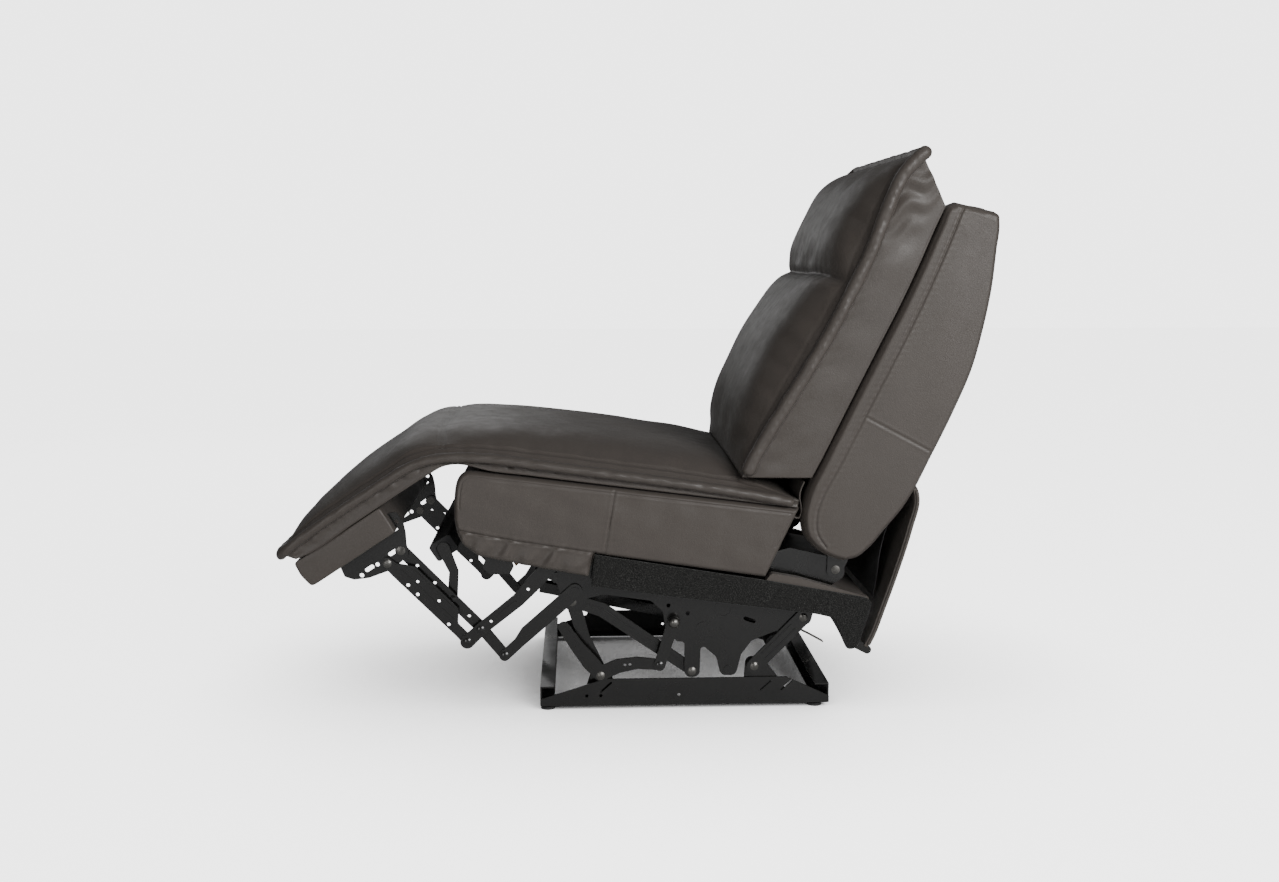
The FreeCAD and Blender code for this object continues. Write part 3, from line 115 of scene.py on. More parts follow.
def black_paint(name, gloss=0.22, scuffs=0.5):
    """Dipped gloss paint: orange peel, dusty patches and small scuffs through to grey primer."""
    material, tree, shader, place = new_material(name)
    primer = tuple(scuffs * c for c in (0.05, 0.048, 0.045))
    colour = shades(tree, noise(tree, place, 42.0, 8.0, 0.72),
                    [(0.0, (0.0025, 0.0025, 0.0022)), (0.62, (0.0045, 0.0043, 0.004)),
                     (0.74, (0.012, 0.0115, 0.011)), (0.8, primer)])
    feed(tree, shader, colour, spread(tree, noise(tree, place, 16.0, 4.0), gloss, gloss + 0.22))
    shader.inputs["Specular IOR Level"].default_value = 0.3
    shader.inputs["Coat Weight"].default_value = 0.6
    shader.inputs["Coat Roughness"].default_value = 0.09
    peel, dents = noise(tree, place, 420.0, 2.0), noise(tree, place, 30.0, 3.0)
    relief(tree, shader, [(peel, 0.0004, 0.35), (dents, 0.002, 0.12)])
    return material


def finish(nodes, material):
    """Gives one finish to carried-over pieces."""
    for name in nodes:
        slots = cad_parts[name].data.materials
        slots.clear()
        slots.append(material)


base_steel = ["left_base_rail", "right_base_rail", "front_cross_channel", "rear_cross_channel",
              "pivot_brackets"]
finish(base_steel, black_paint("gloss_black_paint"))


# Links of the seat lift and the leg rest. Flat stampings with pressed ribs, in the same black paint but
# handled more, so the ribs and rivet rims are rubbed brighter. They hang on rivets and shouldered pins.
link_paint = black_paint("rubbed_black_paint", gloss=0.19, scuffs=1.5)
finish(["front_lift_links", "rear_lift_links", "bell_cranks", "short_links", "tie_links", "left_seat_plate",
        "right_seat_plate", "main_arms", "front_struts", "rear_struts", "drive_links", "drive_tube",
        "flipper_links", "footrest_brackets", "seat_cross_tubes", "seat_front_rail", "actuator_rail",
        "actuator_hangers", "panel_hinge_rod", "back_brackets"], link_paint)


# Rivets, pins, bolts, springs, lead screw and the release blade. Zinc plated or oiled bare steel, dull grey
# with fine drawn scratches. They are pressed or screwed in after painting, so they stay bare.
def bare_steel(name, tone, rough):
    """Plated steel with cloudy roughness and fine scratches."""
    material, tree, shader, place = new_material(name)
    cloud = noise(tree, place, 60.0, 6.0, 0.65)
    dark = tuple(0.55 * c for c in tone)
    colour = shades(tree, cloud, [(0.25, dark), (0.75, tone)])
    feed(tree, shader, colour, spread(tree, cloud, rough, rough + 0.25))
    shader.inputs["Metallic"].default_value = 1.0
    relief(tree, shader, [(noise(tree, place, 900.0, 3.0), 0.0002, 0.4)])
    return material


finish(["seat_pivot_pins", "plate_bolts", "base_pivot_pins", "footrest_pins"],
       bare_steel("dark_plated_steel", (0.17, 0.165, 0.155), 0.25))
finish(["seat_springs", "lead_screw", "release_blade"],
       bare_steel("oiled_spring_steel", (0.33, 0.32, 0.3), 0.3))


# Glides, motor housing, nut block and inlet. Moulded black plastic with a fine spark texture. The glides are
# pushed onto the rails, the others are screwed to the actuator.
def moulded_plastic(name, tone, rough):
    """Injection moulded plastic: fine even texture and slightly varied gloss."""
    material, tree, shader, place = new_material(name)
    light = tuple(1.5 * c for c in tone)
    colour = shades(tree, noise(tree, place, 25.0), [(0.3, tone), (0.7, light)])
    feed(tree, shader, colour, spread(tree, noise(tree, place, 70.0), rough, rough + 0.15))
    relief(tree, shader, [(noise(tree, place, 1500.0, 2.0), 0.0002, 0.5)])
    return material


finish(["base_glides", "gear_motor", "slide_block", "power_socket"],
       moulded_plastic("black_plastic", (0.014, 0.014, 0.014), 0.42))


# Wooden parts of the box and the back. Birch plywood sides, spring boards, bottom board and pine rails, sawn
# and left raw. They are glued and stapled under the leather and show only at the edges.
def plywood(name, light, dark):
    """Sawn wood: long wavy grain along X, thin plies across and a dry rough surface."""
    material, tree, shader, place = new_material(name)
    turn = tree.nodes.new("ShaderNodeMapping")
    turn.inputs["Scale"].default_value = (6.0, 90.0, 260.0)
    tree.links.new(place, turn.inputs["Vector"])
    grain = noise(tree, turn.outputs["Vector"], 1.0, 6.0, 0.6)
    colour = shades(tree, grain, [(0.3, dark), (0.55, light), (0.8, dark)])
    feed(tree, shader, colour, spread(tree, grain, 0.6, 0.8))
    relief(tree, shader, [(grain, 0.0006, 0.5)])
    return material


finish(["seat_side_rails", "seat_bottom_board", "spring_boards", "back_rails"],
       plywood("raw_plywood", (0.42, 0.3, 0.18), (0.24, 0.15, 0.08)))


# Seat frame: foam core over the springs, wrapped in black lining cloth. It is glued in between the plywood
# sides and hidden by the chaise pad, so only its cloth edge shows.
seat_tilt, seat_front, seat_top = radians(7.5), -318.0, 487.0


def seat(s, t):
    """Point of the seat box's own frame, s back along its top and t up from it, as chair (Y, Z):
    (front + s cos a + t sin a, top - s sin a + t cos a), where a is the seat's tilt."""
    return np.stack([seat_front + s * cos(seat_tilt) + t * sin(seat_tilt),
                     seat_top - s * sin(seat_tilt) + t * cos(seat_tilt)], -1)


def through(points, count):
    """Smooth line through a few points at even steps of its length. Each span is the cubic
    p0 (2x^3 - 3x^2 + 1) + m0 h (x^3 - 2x^2 + x) + p1 (3x^2 - 2x^3) + m1 h (x^3 - x^2), where the slope m at
    a point is that of the points on both sides of it."""
    p = np.asarray(points, float)
    run = np.r_[0.0, np.cumsum(np.linalg.norm(np.diff(p, axis=0), axis=1))]
    slope = np.gradient(p, run, axis=0)
    at = np.linspace(0.0, run[-1], count)
    k = np.clip(np.searchsorted(run, at, side="right") - 1, 0, len(p) - 2)
    h = (run[k + 1] - run[k])[:, None]
    x = (at - run[k])[:, None] / h
    return (p[k] * (2 * x**3 - 3 * x**2 + 1) + slope[k] * h * (x**3 - 2 * x**2 + x)
            + p[k + 1] * (3 * x**2 - 2 * x**3) + slope[k + 1] * h * (x**3 - x**2))


def straight(points, count, soft=0.0):
    """Straight runs through the points at even steps, with the corners eased over about soft millimetres by
    averaging neighbours along the line."""
    p = np.asarray(points, float)
    run = np.r_[0.0, np.cumsum(np.linalg.norm(np.diff(p, axis=0), axis=1))]
    at = np.linspace(0.0, run[-1], count)
    line = np.stack([np.interp(at, run, p[:, k]) for k in range(p.shape[1])], -1)
    reach = int(soft / (run[-1] / (count - 1)) / 2)
    if reach > 0:
        for _ in range(2):
            before, after = 2 * line[:1] - line[reach:0:-1], 2 * line[-1:] - line[-2:-reach - 2:-1]
            padded = np.concatenate([before, line, after])
            total = np.cumsum(np.concatenate([np.zeros((1, line.shape[1])), padded]), axis=0)
            line = (total[2 * reach + 1:] - total[:-2 * reach - 1]) / (2 * reach + 1)
    return line


def mesh_piece(name, co, faces, material):
    """Object with the points, given in millimetres, and quads; its own place is in its mesh."""
    mesh = bpy.data.meshes.new(name)
    faces = np.asarray(faces)
    mesh.vertices.add(len(co))
    mesh.vertices.foreach_set("co", (np.asarray(co, float) * 0.001).astype(np.float32).ravel())
    mesh.loops.add(faces.size)
    mesh.loops.foreach_set("vertex_index", faces.astype(np.int32).ravel())
    mesh.polygons.add(len(faces))
    mesh.polygons.foreach_set("loop_start", np.arange(0, faces.size, faces.shape[1], dtype=np.int32))
    mesh.polygons.foreach_set("use_smooth", np.ones(len(faces), bool))
    mesh.update(calc_edges=True)
    mesh.validate()
    mesh.materials.append(material)
    piece = bpy.data.objects.new(name, mesh)
    bpy.context.scene.collection.objects.link(piece)
    return piece


def grid_quads(index):
    """Quads of a grid of vertex numbers."""
    return np.stack([index[:-1, :-1], index[1:, :-1], index[1:, 1:], index[:-1, 1:]], -1).reshape(-1, 4)


def rim(index):
    """Vertex numbers round the edge of a grid, in order, closed."""
    loop = np.concatenate([index[0, :-1], index[:-1, -1], index[-1, :0:-1], index[:0:-1, 0]])
    return np.r_[loop, loop[:1]]


def outward(mesh, merge=True):
    """Turns the faces of a closed mesh outwards by the sign of its volume, and joins doubled points."""
    bm = bmesh.new()
    bm.from_mesh(mesh)
    if merge:
        bmesh.ops.remove_doubles(bm, verts=bm.verts, dist=0.00002)
    bmesh.ops.recalc_face_normals(bm, faces=bm.faces)
    if bm.calc_volume(signed=True) < 0:
        bmesh.ops.reverse_faces(bm, faces=bm.faces)
    for face in bm.faces:
        face.smooth = True
    bm.to_mesh(mesh)
    bm.free()


def stuffed(name, front, back, steps, side, material, merge=True):
    """Closed piece between two grids of the same shape. The wall between their rims has the given number of
    steps; side(from_front, start, end, along) gives its inner points, where from_front runs from 0 to 1."""
    rows, cols = front.shape[:2]
    index = np.arange(rows * cols).reshape(rows, cols)
    loop = rim(index)
    start, end = front.reshape(-1, 3)[loop[:-1]], back.reshape(-1, 3)[loop[:-1]]
    along = np.r_[0.0, np.cumsum(np.linalg.norm(np.diff(start, axis=0), axis=1))]
    share = np.linspace(0.0, 1.0, steps + 1)[1:-1]
    walls = [side(f, start, end, along) for f in share]
    walls = np.stack(walls) if walls else np.zeros((0, len(start), 3))
    co = np.concatenate([front.reshape(-1, 3), back.reshape(-1, 3), walls.reshape(-1, 3)])
    ring = np.arange(len(share) * len(start)).reshape(len(share), len(start)) + 2 * rows * cols
    ring = np.concatenate([ring, ring[:, :1]], 1) if len(share) else np.zeros((0, len(loop)), int)
    band = np.concatenate([loop[None], ring, (loop + rows * cols)[None]])
    faces = np.concatenate([grid_quads(index), grid_quads(index + rows * cols)[:, ::-1], grid_quads(band)])
    piece = mesh_piece(name, co, faces, material)
    outward(piece.data, merge)
    return piece


def plain_wall(f, start, end, along):
    """Straight wall between two rims."""
    return start + (end - start) * f


def lining(name, tone):
    """Thin black woven cloth: two crossed sets of fine threads, dusty and matt."""
    material, tree, shader, place = new_material(name)
    light = tuple(2.2 * c for c in tone)
    cloud = noise(tree, place, 18.0, 5.0)
    feed(tree, shader, shades(tree, cloud, [(0.3, tone), (0.75, light)]), spread(tree, cloud, 0.75, 0.92))
    threads = tree.nodes.new("ShaderNodeTexWave")
    threads.bands_direction = "X"
    threads.inputs["Scale"].default_value = 260.0
    threads.inputs["Distortion"].default_value = 0.6
    tree.links.new(place, threads.inputs["Vector"])
    cross = tree.nodes.new("ShaderNodeTexWave")
    cross.bands_direction = "DIAGONAL"
    cross.inputs["Scale"].default_value = 180.0
    tree.links.new(place, cross.inputs["Vector"])
    relief(tree, shader, [(threads.outputs["Fac"], 0.0005, 0.6), (cross.outputs["Fac"], 0.0005, 0.5)])
    return material


black_cloth = lining("black_lining_cloth", (0.012, 0.012, 0.0125))
finish(["middle_bar"], black_cloth)

core_half, core_start, core_length = 291.0, 14.0, 571.0
core_side_top, core_crown, core_bottom = -14.0, 16.5, -45.5
across = np.linspace(-1.0, 1.0, 41)
back_along = np.linspace(0.0, 1.0, 61)
crown = (1 - np.abs(across) ** 6)[None, :] * (1 - np.abs(2 * back_along - 1) ** 8)[:, None]
core_s = (core_start + core_length * back_along)[:, None]
core_top = np.empty((*crown.shape, 3))
core_top[..., 0] = core_half * across
core_top[..., 1:] = seat(core_s, core_side_top + core_crown * crown)
core_under = core_top.copy()
core_under[..., 1:] = seat(core_s, np.full_like(crown, core_bottom))
seat_core = stuffed("seat_core", core_top, core_under, 4, plain_wall, black_cloth)
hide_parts("seat_foam")
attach(seat_core, "seat")


# Seat box covers: grey-brown leather over thin foam on both sides and the front. Each side is cut in three,
# with a seam down the middle and one below, and the strip below it is gathered when it is stapled underneath.
leather_tone = (0.062, 0.053, 0.0465)


def leather(name, tone=leather_tone, rough=0.4):
    """Pigmented cowhide: pebbled grain, faint creases, slightly cloudy colour and a soft even sheen."""
    material, tree, shader, place = new_material(name)
    low, high = tuple(0.95 * c for c in tone), tuple(1.04 * c for c in tone)
    colour = shades(tree, noise(tree, place, 7.0, 5.0, 0.6), [(0.25, low), (0.75, high)])
    feed(tree, shader, colour, spread(tree, noise(tree, place, 38.0, 5.0, 0.65), rough, rough + 0.14))
    shader.inputs["Specular IOR Level"].default_value = 0.34
    shader.inputs["Sheen Weight"].default_value = 0.03
    shader.inputs["Sheen Roughness"].default_value = 0.5
    pebble = tree.nodes.new("ShaderNodeTexVoronoi")
    pebble.inputs["Scale"].default_value = 620.0
    pebble.inputs["Randomness"].default_value = 0.9
    tree.links.new(place, pebble.inputs["Vector"])
    crease = tree.nodes.new("ShaderNodeTexVoronoi")
    crease.feature = "DISTANCE_TO_EDGE"
    crease.inputs["Scale"].default_value = 190.0
    tree.links.new(place, crease.inputs["Vector"])
    relief(tree, shader, [(noise(tree, place, 24.0, 4.0), 0.003, 0.14),
                          (spread(tree, crease.outputs["Distance"], 0.0, 1.0, 0.0, 0.12), 0.0002, 0.3),
                          (pebble.outputs["Distance"], 0.0003, 0.42)])
    return material


side_leather = leather("grey_leather")


def edge_distance(points, outline):
    """Shortest distance of each 2D point to a closed outline, whole arrays in slices."""
    a = np.asarray(outline, float)
    d = np.roll(a, -1, axis=0) - a
    square = np.maximum((d**2).sum(-1), 1e-9)
    best = np.full(len(points), 1e9)
    for first in range(0, len(a), 64):
        aa, dd, ss = a[first:first + 64], d[first:first + 64], square[first:first + 64]
        off = points[:, None, :] - aa[None]
        t = np.clip((off * dd).sum(-1) / ss, 0, 1)
        best = np.minimum(best, np.linalg.norm(off - t[..., None] * dd, axis=-1).min(1))
    return best


def line_distance(points, line):
    """Signed distance of each 2D point to an open line of points, positive on its left."""
    a, b = np.asarray(line[:-1], float), np.asarray(line[1:], float)
    d = b - a
    off = points[:, None, :] - a[None]
    t = np.clip((off * d).sum(-1) / (d**2).sum(-1), 0, 1)
    gap = np.linalg.norm(off - t[..., None] * d, axis=-1)
    k = gap.argmin(1)
    turn = d[k, 0] * off[np.arange(len(points)), k, 1] - d[k, 1] * off[np.arange(len(points)), k, 0]
    return gap.min(1) * np.where(turn < 0, -1.0, 1.0)


def seam(distance, depth, width):
    """Sewn line seen as relief: a narrow valley -d exp(-(x / w)^2) with the leather rising softly on both
    sides as 0.16 d exp(-((|x| - 3w) / 1.6w)^2)."""
    shoulder = 0.16 * depth * np.exp(-((np.abs(distance) - 3 * width) / (1.6 * width)) ** 2)
    return -depth * np.exp(-(distance / width) ** 2) + shoulder


def waves(points, count, low, high, seed):
    """Sum of sine waves in random directions with wavelengths from low to high, about -1 to 1."""
    rng = np.random.default_rng(seed)
    angle = rng.uniform(0, 2 * pi, (count, points.shape[-1]))
    way = rng.normal(size=(count, points.shape[-1]))
    way /= np.linalg.norm(way, axis=1, keepdims=True)
    length = np.exp(rng.uniform(np.log(low), np.log(high), count))
    total = np.sin(points @ (way * 2 * pi / length[:, None]).T + angle[:, 0]).sum(-1)
    return total / np.sqrt(count) / 1.4


def side_panels(name, lower, upper, rows, height, x_in, material, round_edge=8.0):
    """Left and right panel that face sideways. The grid lies between two edges in (Y, Z);
    height(points, edge) gives how far it stands out of the inner face, and its outline is rounded over like
    a quarter ellipse of the given width."""
    share = np.linspace(0.0, 1.0, rows)[:, None, None]
    points = (lower[None] * (1 - share) + upper[None] * share).reshape(-1, 2)
    edge = edge_distance(points, np.concatenate([lower, upper[::-1]]))
    curve = np.sqrt(np.clip(1 - (1 - np.clip(edge / round_edge, 0, 1)) ** 2, 0, 1))
    out = height(points, edge) * (0.3 + 0.7 * curve)
    front = np.concatenate([(x_in + out)[:, None], points], 1).reshape(rows, -1, 3)
    back = front.copy()
    back[..., 0] = x_in
    pair = []
    for label, mirror in (("left_", [1.0, 1.0, 1.0]), ("right_", [-1.0, 1.0, 1.0])):
        pair.append(stuffed(label + name, front * mirror, back * mirror, 3, plain_wall, material))
    return pair


def spanned(x, line):
    """Grid of points: a line in (Y, Z) carried across the chair to each x."""
    points = np.empty((len(line), len(x), 3))
    points[..., 0] = x
    points[..., 1:] = line[:, None]
    return points


box_in, box_thick = 292.3, 23.5
box_front = [(-24.0, -62.0), (-25.0, -34.0), (-22.0, -16.0), (-12.0, -3.5), (6.0, 0.0)]
box_top = [(120.0, 1.0), (635.0, 5.0)]
box_under = [(-24.0, -62.0), (-20.0, -96.0), (-10.0, -127.0), (6.0, -148.0), (38.0, -164.0)]
box_rear = [(150.0, -172.0), (249.0, -178.0), (252.0, -131.0), (420.0, -134.0), (589.0, -137.0)]
upper_edge = seat(*straight(box_front + box_top, 320, 16.0).T)
lower_edge = seat(*straight(box_under + box_rear, 320, 6.0).T)
upright_seam = seat(*np.array([(277.0, -4.0), (273.0, -134.0)]).T)
lower_seam = seat(*np.array([(-14.0, -116.0), (60.0, -121.0), (120.0, -124.0), (256.0, -128.0)]).T)
front_curve_y, border_height = -64.0, 370.0


def box_relief(points, edge):
    """Thickness of a side cover: foam crown, border stitching, two seams with puckers, gathers below."""
    upright = line_distance(points, upright_seam)
    low = line_distance(points, lower_seam)
    below = 1 / (1 + np.exp(low / 2.5))
    forward = 1 / (1 + np.exp((points[:, 0] - front_curve_y) / 8.0))
    slant = points[:, 0] * 0.8 - points[:, 1] * 0.6 + 8 * waves(points, 5, 60, 160, 3)
    gather = (0.5 + 0.5 * np.sin(slant * 2 * pi / 41.0)) ** 1.3 * 8.0 * np.exp(-np.abs(low + 30) / 45.0)
    pucker = 0.14 * np.sin(points[:, 1] * 2 * pi / 11.0) * np.exp(-np.abs(upright) / 9.0)
    stitches = np.sin(points[:, 0] * 2 * pi / 17.0 + 3 * waves(points, 4, 60, 160, 5))
    pucker += 0.35 * stitches * np.exp(-np.abs(low) / 10.0)
    crown_in = 2.6 * (1 - np.exp(-edge / 38.0))
    border = seam(edge - 10.5, 1.7, 1.5) * (points[:, 1] + 0.13 * points[:, 0] > border_height)
    low_valley = seam(low, 3.0, 1.8) * (points[:, 0] < front_curve_y + 6.0)
    thick = box_thick - 1.6 + crown_in + border + seam(upright, 2.6, 1.6) + low_valley
    return thick + pucker + below * forward * (gather - 4.5) + 0.8 * waves(points, 9, 45, 190, 11)


box_covers = side_panels("seat_side_leather", lower_edge, upper_edge, 100, box_relief, box_in, side_leather,
                         9.0)
for cover, node in zip(box_covers, ("left_seat_side_cover", "right_seat_side_cover")):
    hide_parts(node)
    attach(cover, "seat")

front_half, front_rows = 291.7, 120
front_outer = [(14.0, -3.5), (-4.0, -6.0), (-17.0, -20.0), (-21.5, -40.0), (-21.0, -70.0), (-15.0, -108.0),
               (-4.0, -136.0), (18.0, -154.0), (38.0, -164.0)]
front_inner = [(18.0, -18.0), (8.0, -20.0), (-1.0, -32.0), (-4.0, -48.0), (-4.0, -70.0), (1.0, -104.0),
               (8.0, -120.0), (28.0, -142.0), (44.0, -152.0)]
across = np.linspace(-1.0, 1.0, 161)
down = np.linspace(0, 1, front_rows)
front_face = spanned(front_half * across, seat(*straight(front_outer, front_rows, 18.0).T))
front_back = spanned(front_half * across, seat(*straight(front_inner, front_rows, 12.0).T))
swell = 2.5 * (1 - np.abs(across) ** 8)[None, :] * np.sin(pi * down)[:, None]
gather_band = np.exp(-((down - 0.86) / 0.13) ** 2)[:, None]
gathers = gather_band * np.sin(across * 60 + 2 * np.sin(across * 17))[None, :]
front_face[..., 1] -= swell + 1.6 * gathers
front_leather = stuffed("seat_front_leather", front_face, front_back, 3, plain_wall, side_leather)
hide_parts("seat_front_panel")
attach(front_leather, "seat")


# Skirts: boards covered in needled charcoal felt with pale fibres, one under each side of the box, with a tab
# left hanging at the rear. They are screwed to a steel strip on the seat plate.
def felt(name):
    """Needled felt: dark ground, short pale fibres lying every way, fully matt."""
    material, tree, shader, place = new_material(name)
    fibre = noise(tree, place, 520.0, 6.0, 0.75)
    patch = noise(tree, place, 90.0, 6.0, 0.7)
    colour = shades(tree, fibre, [(0.38, (0.004, 0.004, 0.0038)), (0.5, (0.011, 0.011, 0.0105)),
                                  (0.6, (0.04, 0.04, 0.038)), (0.72, (0.13, 0.13, 0.125))])
    feed(tree, shader, colour, spread(tree, patch, 0.85, 1.0))
    shader.inputs["Specular IOR Level"].default_value = 0.1
    shader.inputs["Sheen Weight"].default_value = 0.12
    relief(tree, shader, [(patch, 0.003, 0.5), (fibre, 0.0015, 0.9)])
    return material


skirt_in = 306.2
skirt_upper = [(255.0, -131.8), (420.0, -137.0), (589.0, -142.0), (700.0, -147.5), (792.0, -152.8),
               (802.0, -162.0)]
skirt_under = [(255.0, -195.0), (480.0, -197.0), (700.0, -197.0), (734.0, -201.0), (752.0, -235.0),
               (767.0, -259.0), (778.0, -259.0), (789.0, -252.0), (796.0, -210.0), (802.5, -168.0)]
skirt_top = seat(*straight(skirt_upper, 300, 10.0).T)
skirt_low = seat(*straight(skirt_under, 300, 9.0).T)


def felt_relief(points, edge):
    """Even felt with small lumps and two soft folds near the tab."""
    fold = np.exp(-((points[:, 0] - 372.0) / 10.0) ** 2) + 0.6 * np.exp(-((points[:, 0] - 250.0) / 16.0) ** 2)
    return 5.4 + 0.35 * waves(points, 12, 7, 30, 21) + 0.3 * waves(points, 6, 60, 200, 22) - 0.8 * fold


left_skirt, right_skirt = side_panels("skirt_felt", skirt_low, skirt_top, 60, felt_relief, skirt_in,
                                      felt("charcoal_felt"), 2.6)
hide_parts("felt_skirts")
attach(left_skirt, "seat")
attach(right_skirt, "seat")


# Rear deck: a shelf behind the seat box covered in the same leather, pulled tight and stapled underneath. It
# goes in between the seat plates before the back is hinged.
finish(["rear_deck"], side_leather)


# Leather flap: a loose offcut folded in an S between the seat box and the back, to close the slot. It is sewn
# to the pad's rear edge and tucked in before the back goes on.
def square_to(path):
    """Unit vectors square to a path in (Y, Z), on its left: the way (y, z) turned to (-z, y)."""
    way = np.gradient(path, axis=0)
    return np.stack([-way[:, 1], way[:, 0]], -1) / np.linalg.norm(way, axis=1, keepdims=True)


def draped(name, path, half, columns, thick, crumple, seed, material):
    """Thin sheet: a path in (Y, Z) carried across the chair, rumpled by waves and given its thickness."""
    rows = len(path)
    base = spanned(np.linspace(-half, half, columns), path)
    normal = -square_to(path)
    field = waves(base.reshape(-1, 3) * [1.0, 0.5, 0.5], 10, 60, 260, seed).reshape(rows, columns)
    hold = np.sin(np.linspace(0, pi, rows))[:, None] ** 0.7
    front = base.copy()
    front[..., 1:] += (crumple * field * hold + thick / 2)[..., None] * normal[:, None]
    back = front.copy()
    back[..., 1:] -= thick * normal[:, None]
    return stuffed(name, front, back, 1, plain_wall, material)


flap_path = through([(305.0, 428.0), (301.0, 414.0), (300.0, 400.0), (305.0, 391.0), (312.0, 390.0),
                     (316.0, 398.0), (316.0, 412.0), (313.0, 428.0), (315.0, 444.0), (322.0, 460.0)], 80)
flap = draped("rear_flap", flap_path, 300.0, 120, 2.4, 1.0, 31, side_leather)
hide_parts("back_flap")
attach(flap, "seat")


# Dust cloth: black non-woven cloth that closes the gap from the deck up to the back. It is stapled along both
# edges and is pulled tight when the back reclines.
cloth_path = through([(467.0, 224.0), (473.0, 262.0), (477.5, 305.0), (487.0, 348.0), (499.0, 388.0)], 40)
dust = draped("dust_cloth_sheet", cloth_path, 268.0, 80, 1.2, 1.0, 41, black_cloth)
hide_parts("dust_cloth")
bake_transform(dust)


# Chaise pad: one long leather pillow filled with foam and fibre, from the back over the seat box to the toe.
# Its top is one hide with a twin seam at the knee; a flat rolled edge runs round it, a drawn-in strip below.
leg_slope, fold_y, fold_z = radians(33.1), -318.0, 455.0


def leg(run, up):
    """Point of the leg rest's own frame, run forward of the fold and up from its line, as chair (Y, Z):
    (fold - run cos b - up sin b, fold - run sin b + up cos b), where b is the leg rest's slope."""
    return np.stack([fold_y - run * cos(leg_slope) - up * sin(leg_slope),
                     fold_z - run * sin(leg_slope) + up * cos(leg_slope)], -1)


def both(seat_points, knee_points, leg_points):
    """Points of the seat's frame, of the chair's and of the leg rest's joined into one list."""
    parts = [seat(*np.array(seat_points).T)]
    if knee_points:
        parts.append(np.array(knee_points))
    parts.append(leg(*np.array(leg_points).T))
    return np.concatenate(parts)


def laid_flat(x, run):
    """Place of each grid point on the cover laid flat: across it and along it."""
    return np.stack(np.broadcast_arrays(x[None], run[:, None]), -1)


pad_rows, pad_cols = 250, 121
pad_side, band_side = 311.0, 317.0
pad_edge = through(both([(631, 22.0), (560, 27.5), (420, 32.0), (240, 33.5), (90, 34.5), (20, 34.0)], [],
                        [(60, 102.0), (140, 105.0), (250, 105.0), (330, 102.0), (378, 97.0)]), pad_rows)
pad_top_seat = [(631, 20.0), (600, 38.0), (545, 60.0), (470, 73.0), (300, 80.5), (120, 79.5), (40, 76.5)]
pad_top_leg = [(52, 137.5), (130, 137.0), (230, 133.5), (310, 121.5), (354, 107.0), (378, 97.0)]
pad_middle = through(both(pad_top_seat, [], pad_top_leg), pad_rows)
under_knee = [(-322.0, 497.5), (-342.0, 500.0), (-366.0, 497.0), (-398.0, 480.0)]
pad_under = through(both([(631, 6.6), (420, 6.0), (200, 5.2), (110, 5.2), (30, 5.4)], under_knee,
                         [(105, 65.2), (220, 64.6), (335, 64.8), (352, 68.0)]), pad_rows)
knee_seam_y, twin_gap = -366.0, 9.0
across = np.sin(np.linspace(-pi / 2, pi / 2, pad_cols) * 0.985)
across /= across[-1]
pillow = 1 - np.abs(across) ** 5.5
pad_run = np.r_[0.0, np.cumsum(np.linalg.norm(np.diff(pad_edge, axis=0), axis=1))]
pad_front = spanned(pad_side * across, pad_edge)
pad_front[..., 1:] += (pad_middle - pad_edge)[:, None] * pillow[None, :, None]
pad_up = pad_middle - pad_under
pad_up /= np.linalg.norm(pad_up, axis=1, keepdims=True)
knee_at = pad_run[np.abs(pad_edge[:, 0] - knee_seam_y).argmin()]
twin = (seam(pad_run - knee_at, 2.4, 1.6) + seam(pad_run - knee_at - twin_gap, 1.8, 1.5))[:, None]
border = seam((1 - np.abs(across)) * pad_side - 19.0, 3.4, 1.9)[None, :]
flat_place = laid_flat(pad_side * across, pad_run)
rumple = 1.1 * waves(flat_place, 12, 90, 420, 51) * np.clip(pillow * 2.5, 0, 1)
near_edge = np.exp(-(1 - np.abs(across)) * pad_side / 34.0)[None, :]
rumple += 1.0 * near_edge * waves(flat_place * [0.35, 1.0], 9, 26, 70, 52)
knee_creases = np.exp(-((pad_run - knee_at + 34.0) / 40.0) ** 2)[:, None] * near_edge
rumple += 1.6 * knee_creases * np.sin(flat_place[..., 1] / 5.2 + 0.02 * flat_place[..., 0])
toe_fade = np.clip((1 - pad_run / pad_run[-1]) * 30, 0, 1)[:, None]
pad_front[..., 1:] += ((twin + border + rumple) * toe_fade)[..., None] * pad_up[:, None]
pad_back = spanned((band_side - 8.0) * across, pad_under)


def gusset(f, start, end, along):
    """Strip between the rolled edge and the underside, drawn in and gathered in short upright folds."""
    wall = start + (end - start) * f
    fold = waves(np.stack([along, np.full_like(along, 60 * f)], -1), 10, 16, 60, 53)
    knee = 1.0 + 1.6 * np.exp(-((wall[:, 1] + 300.0) / 90.0) ** 2)
    tuck = 3.0 * sin(pi * f) + 2.6 * knee * fold * sin(pi * min(1.0, 1.3 * f))
    wall[:, 0] -= np.sign(wall[:, 0]) * np.clip(np.abs(wall[:, 0]) - 270, 0, 12) / 12 * tuck
    return wall


pad_leather = leather("pad_leather", tuple(0.93 * c for c in leather_tone), 0.36)


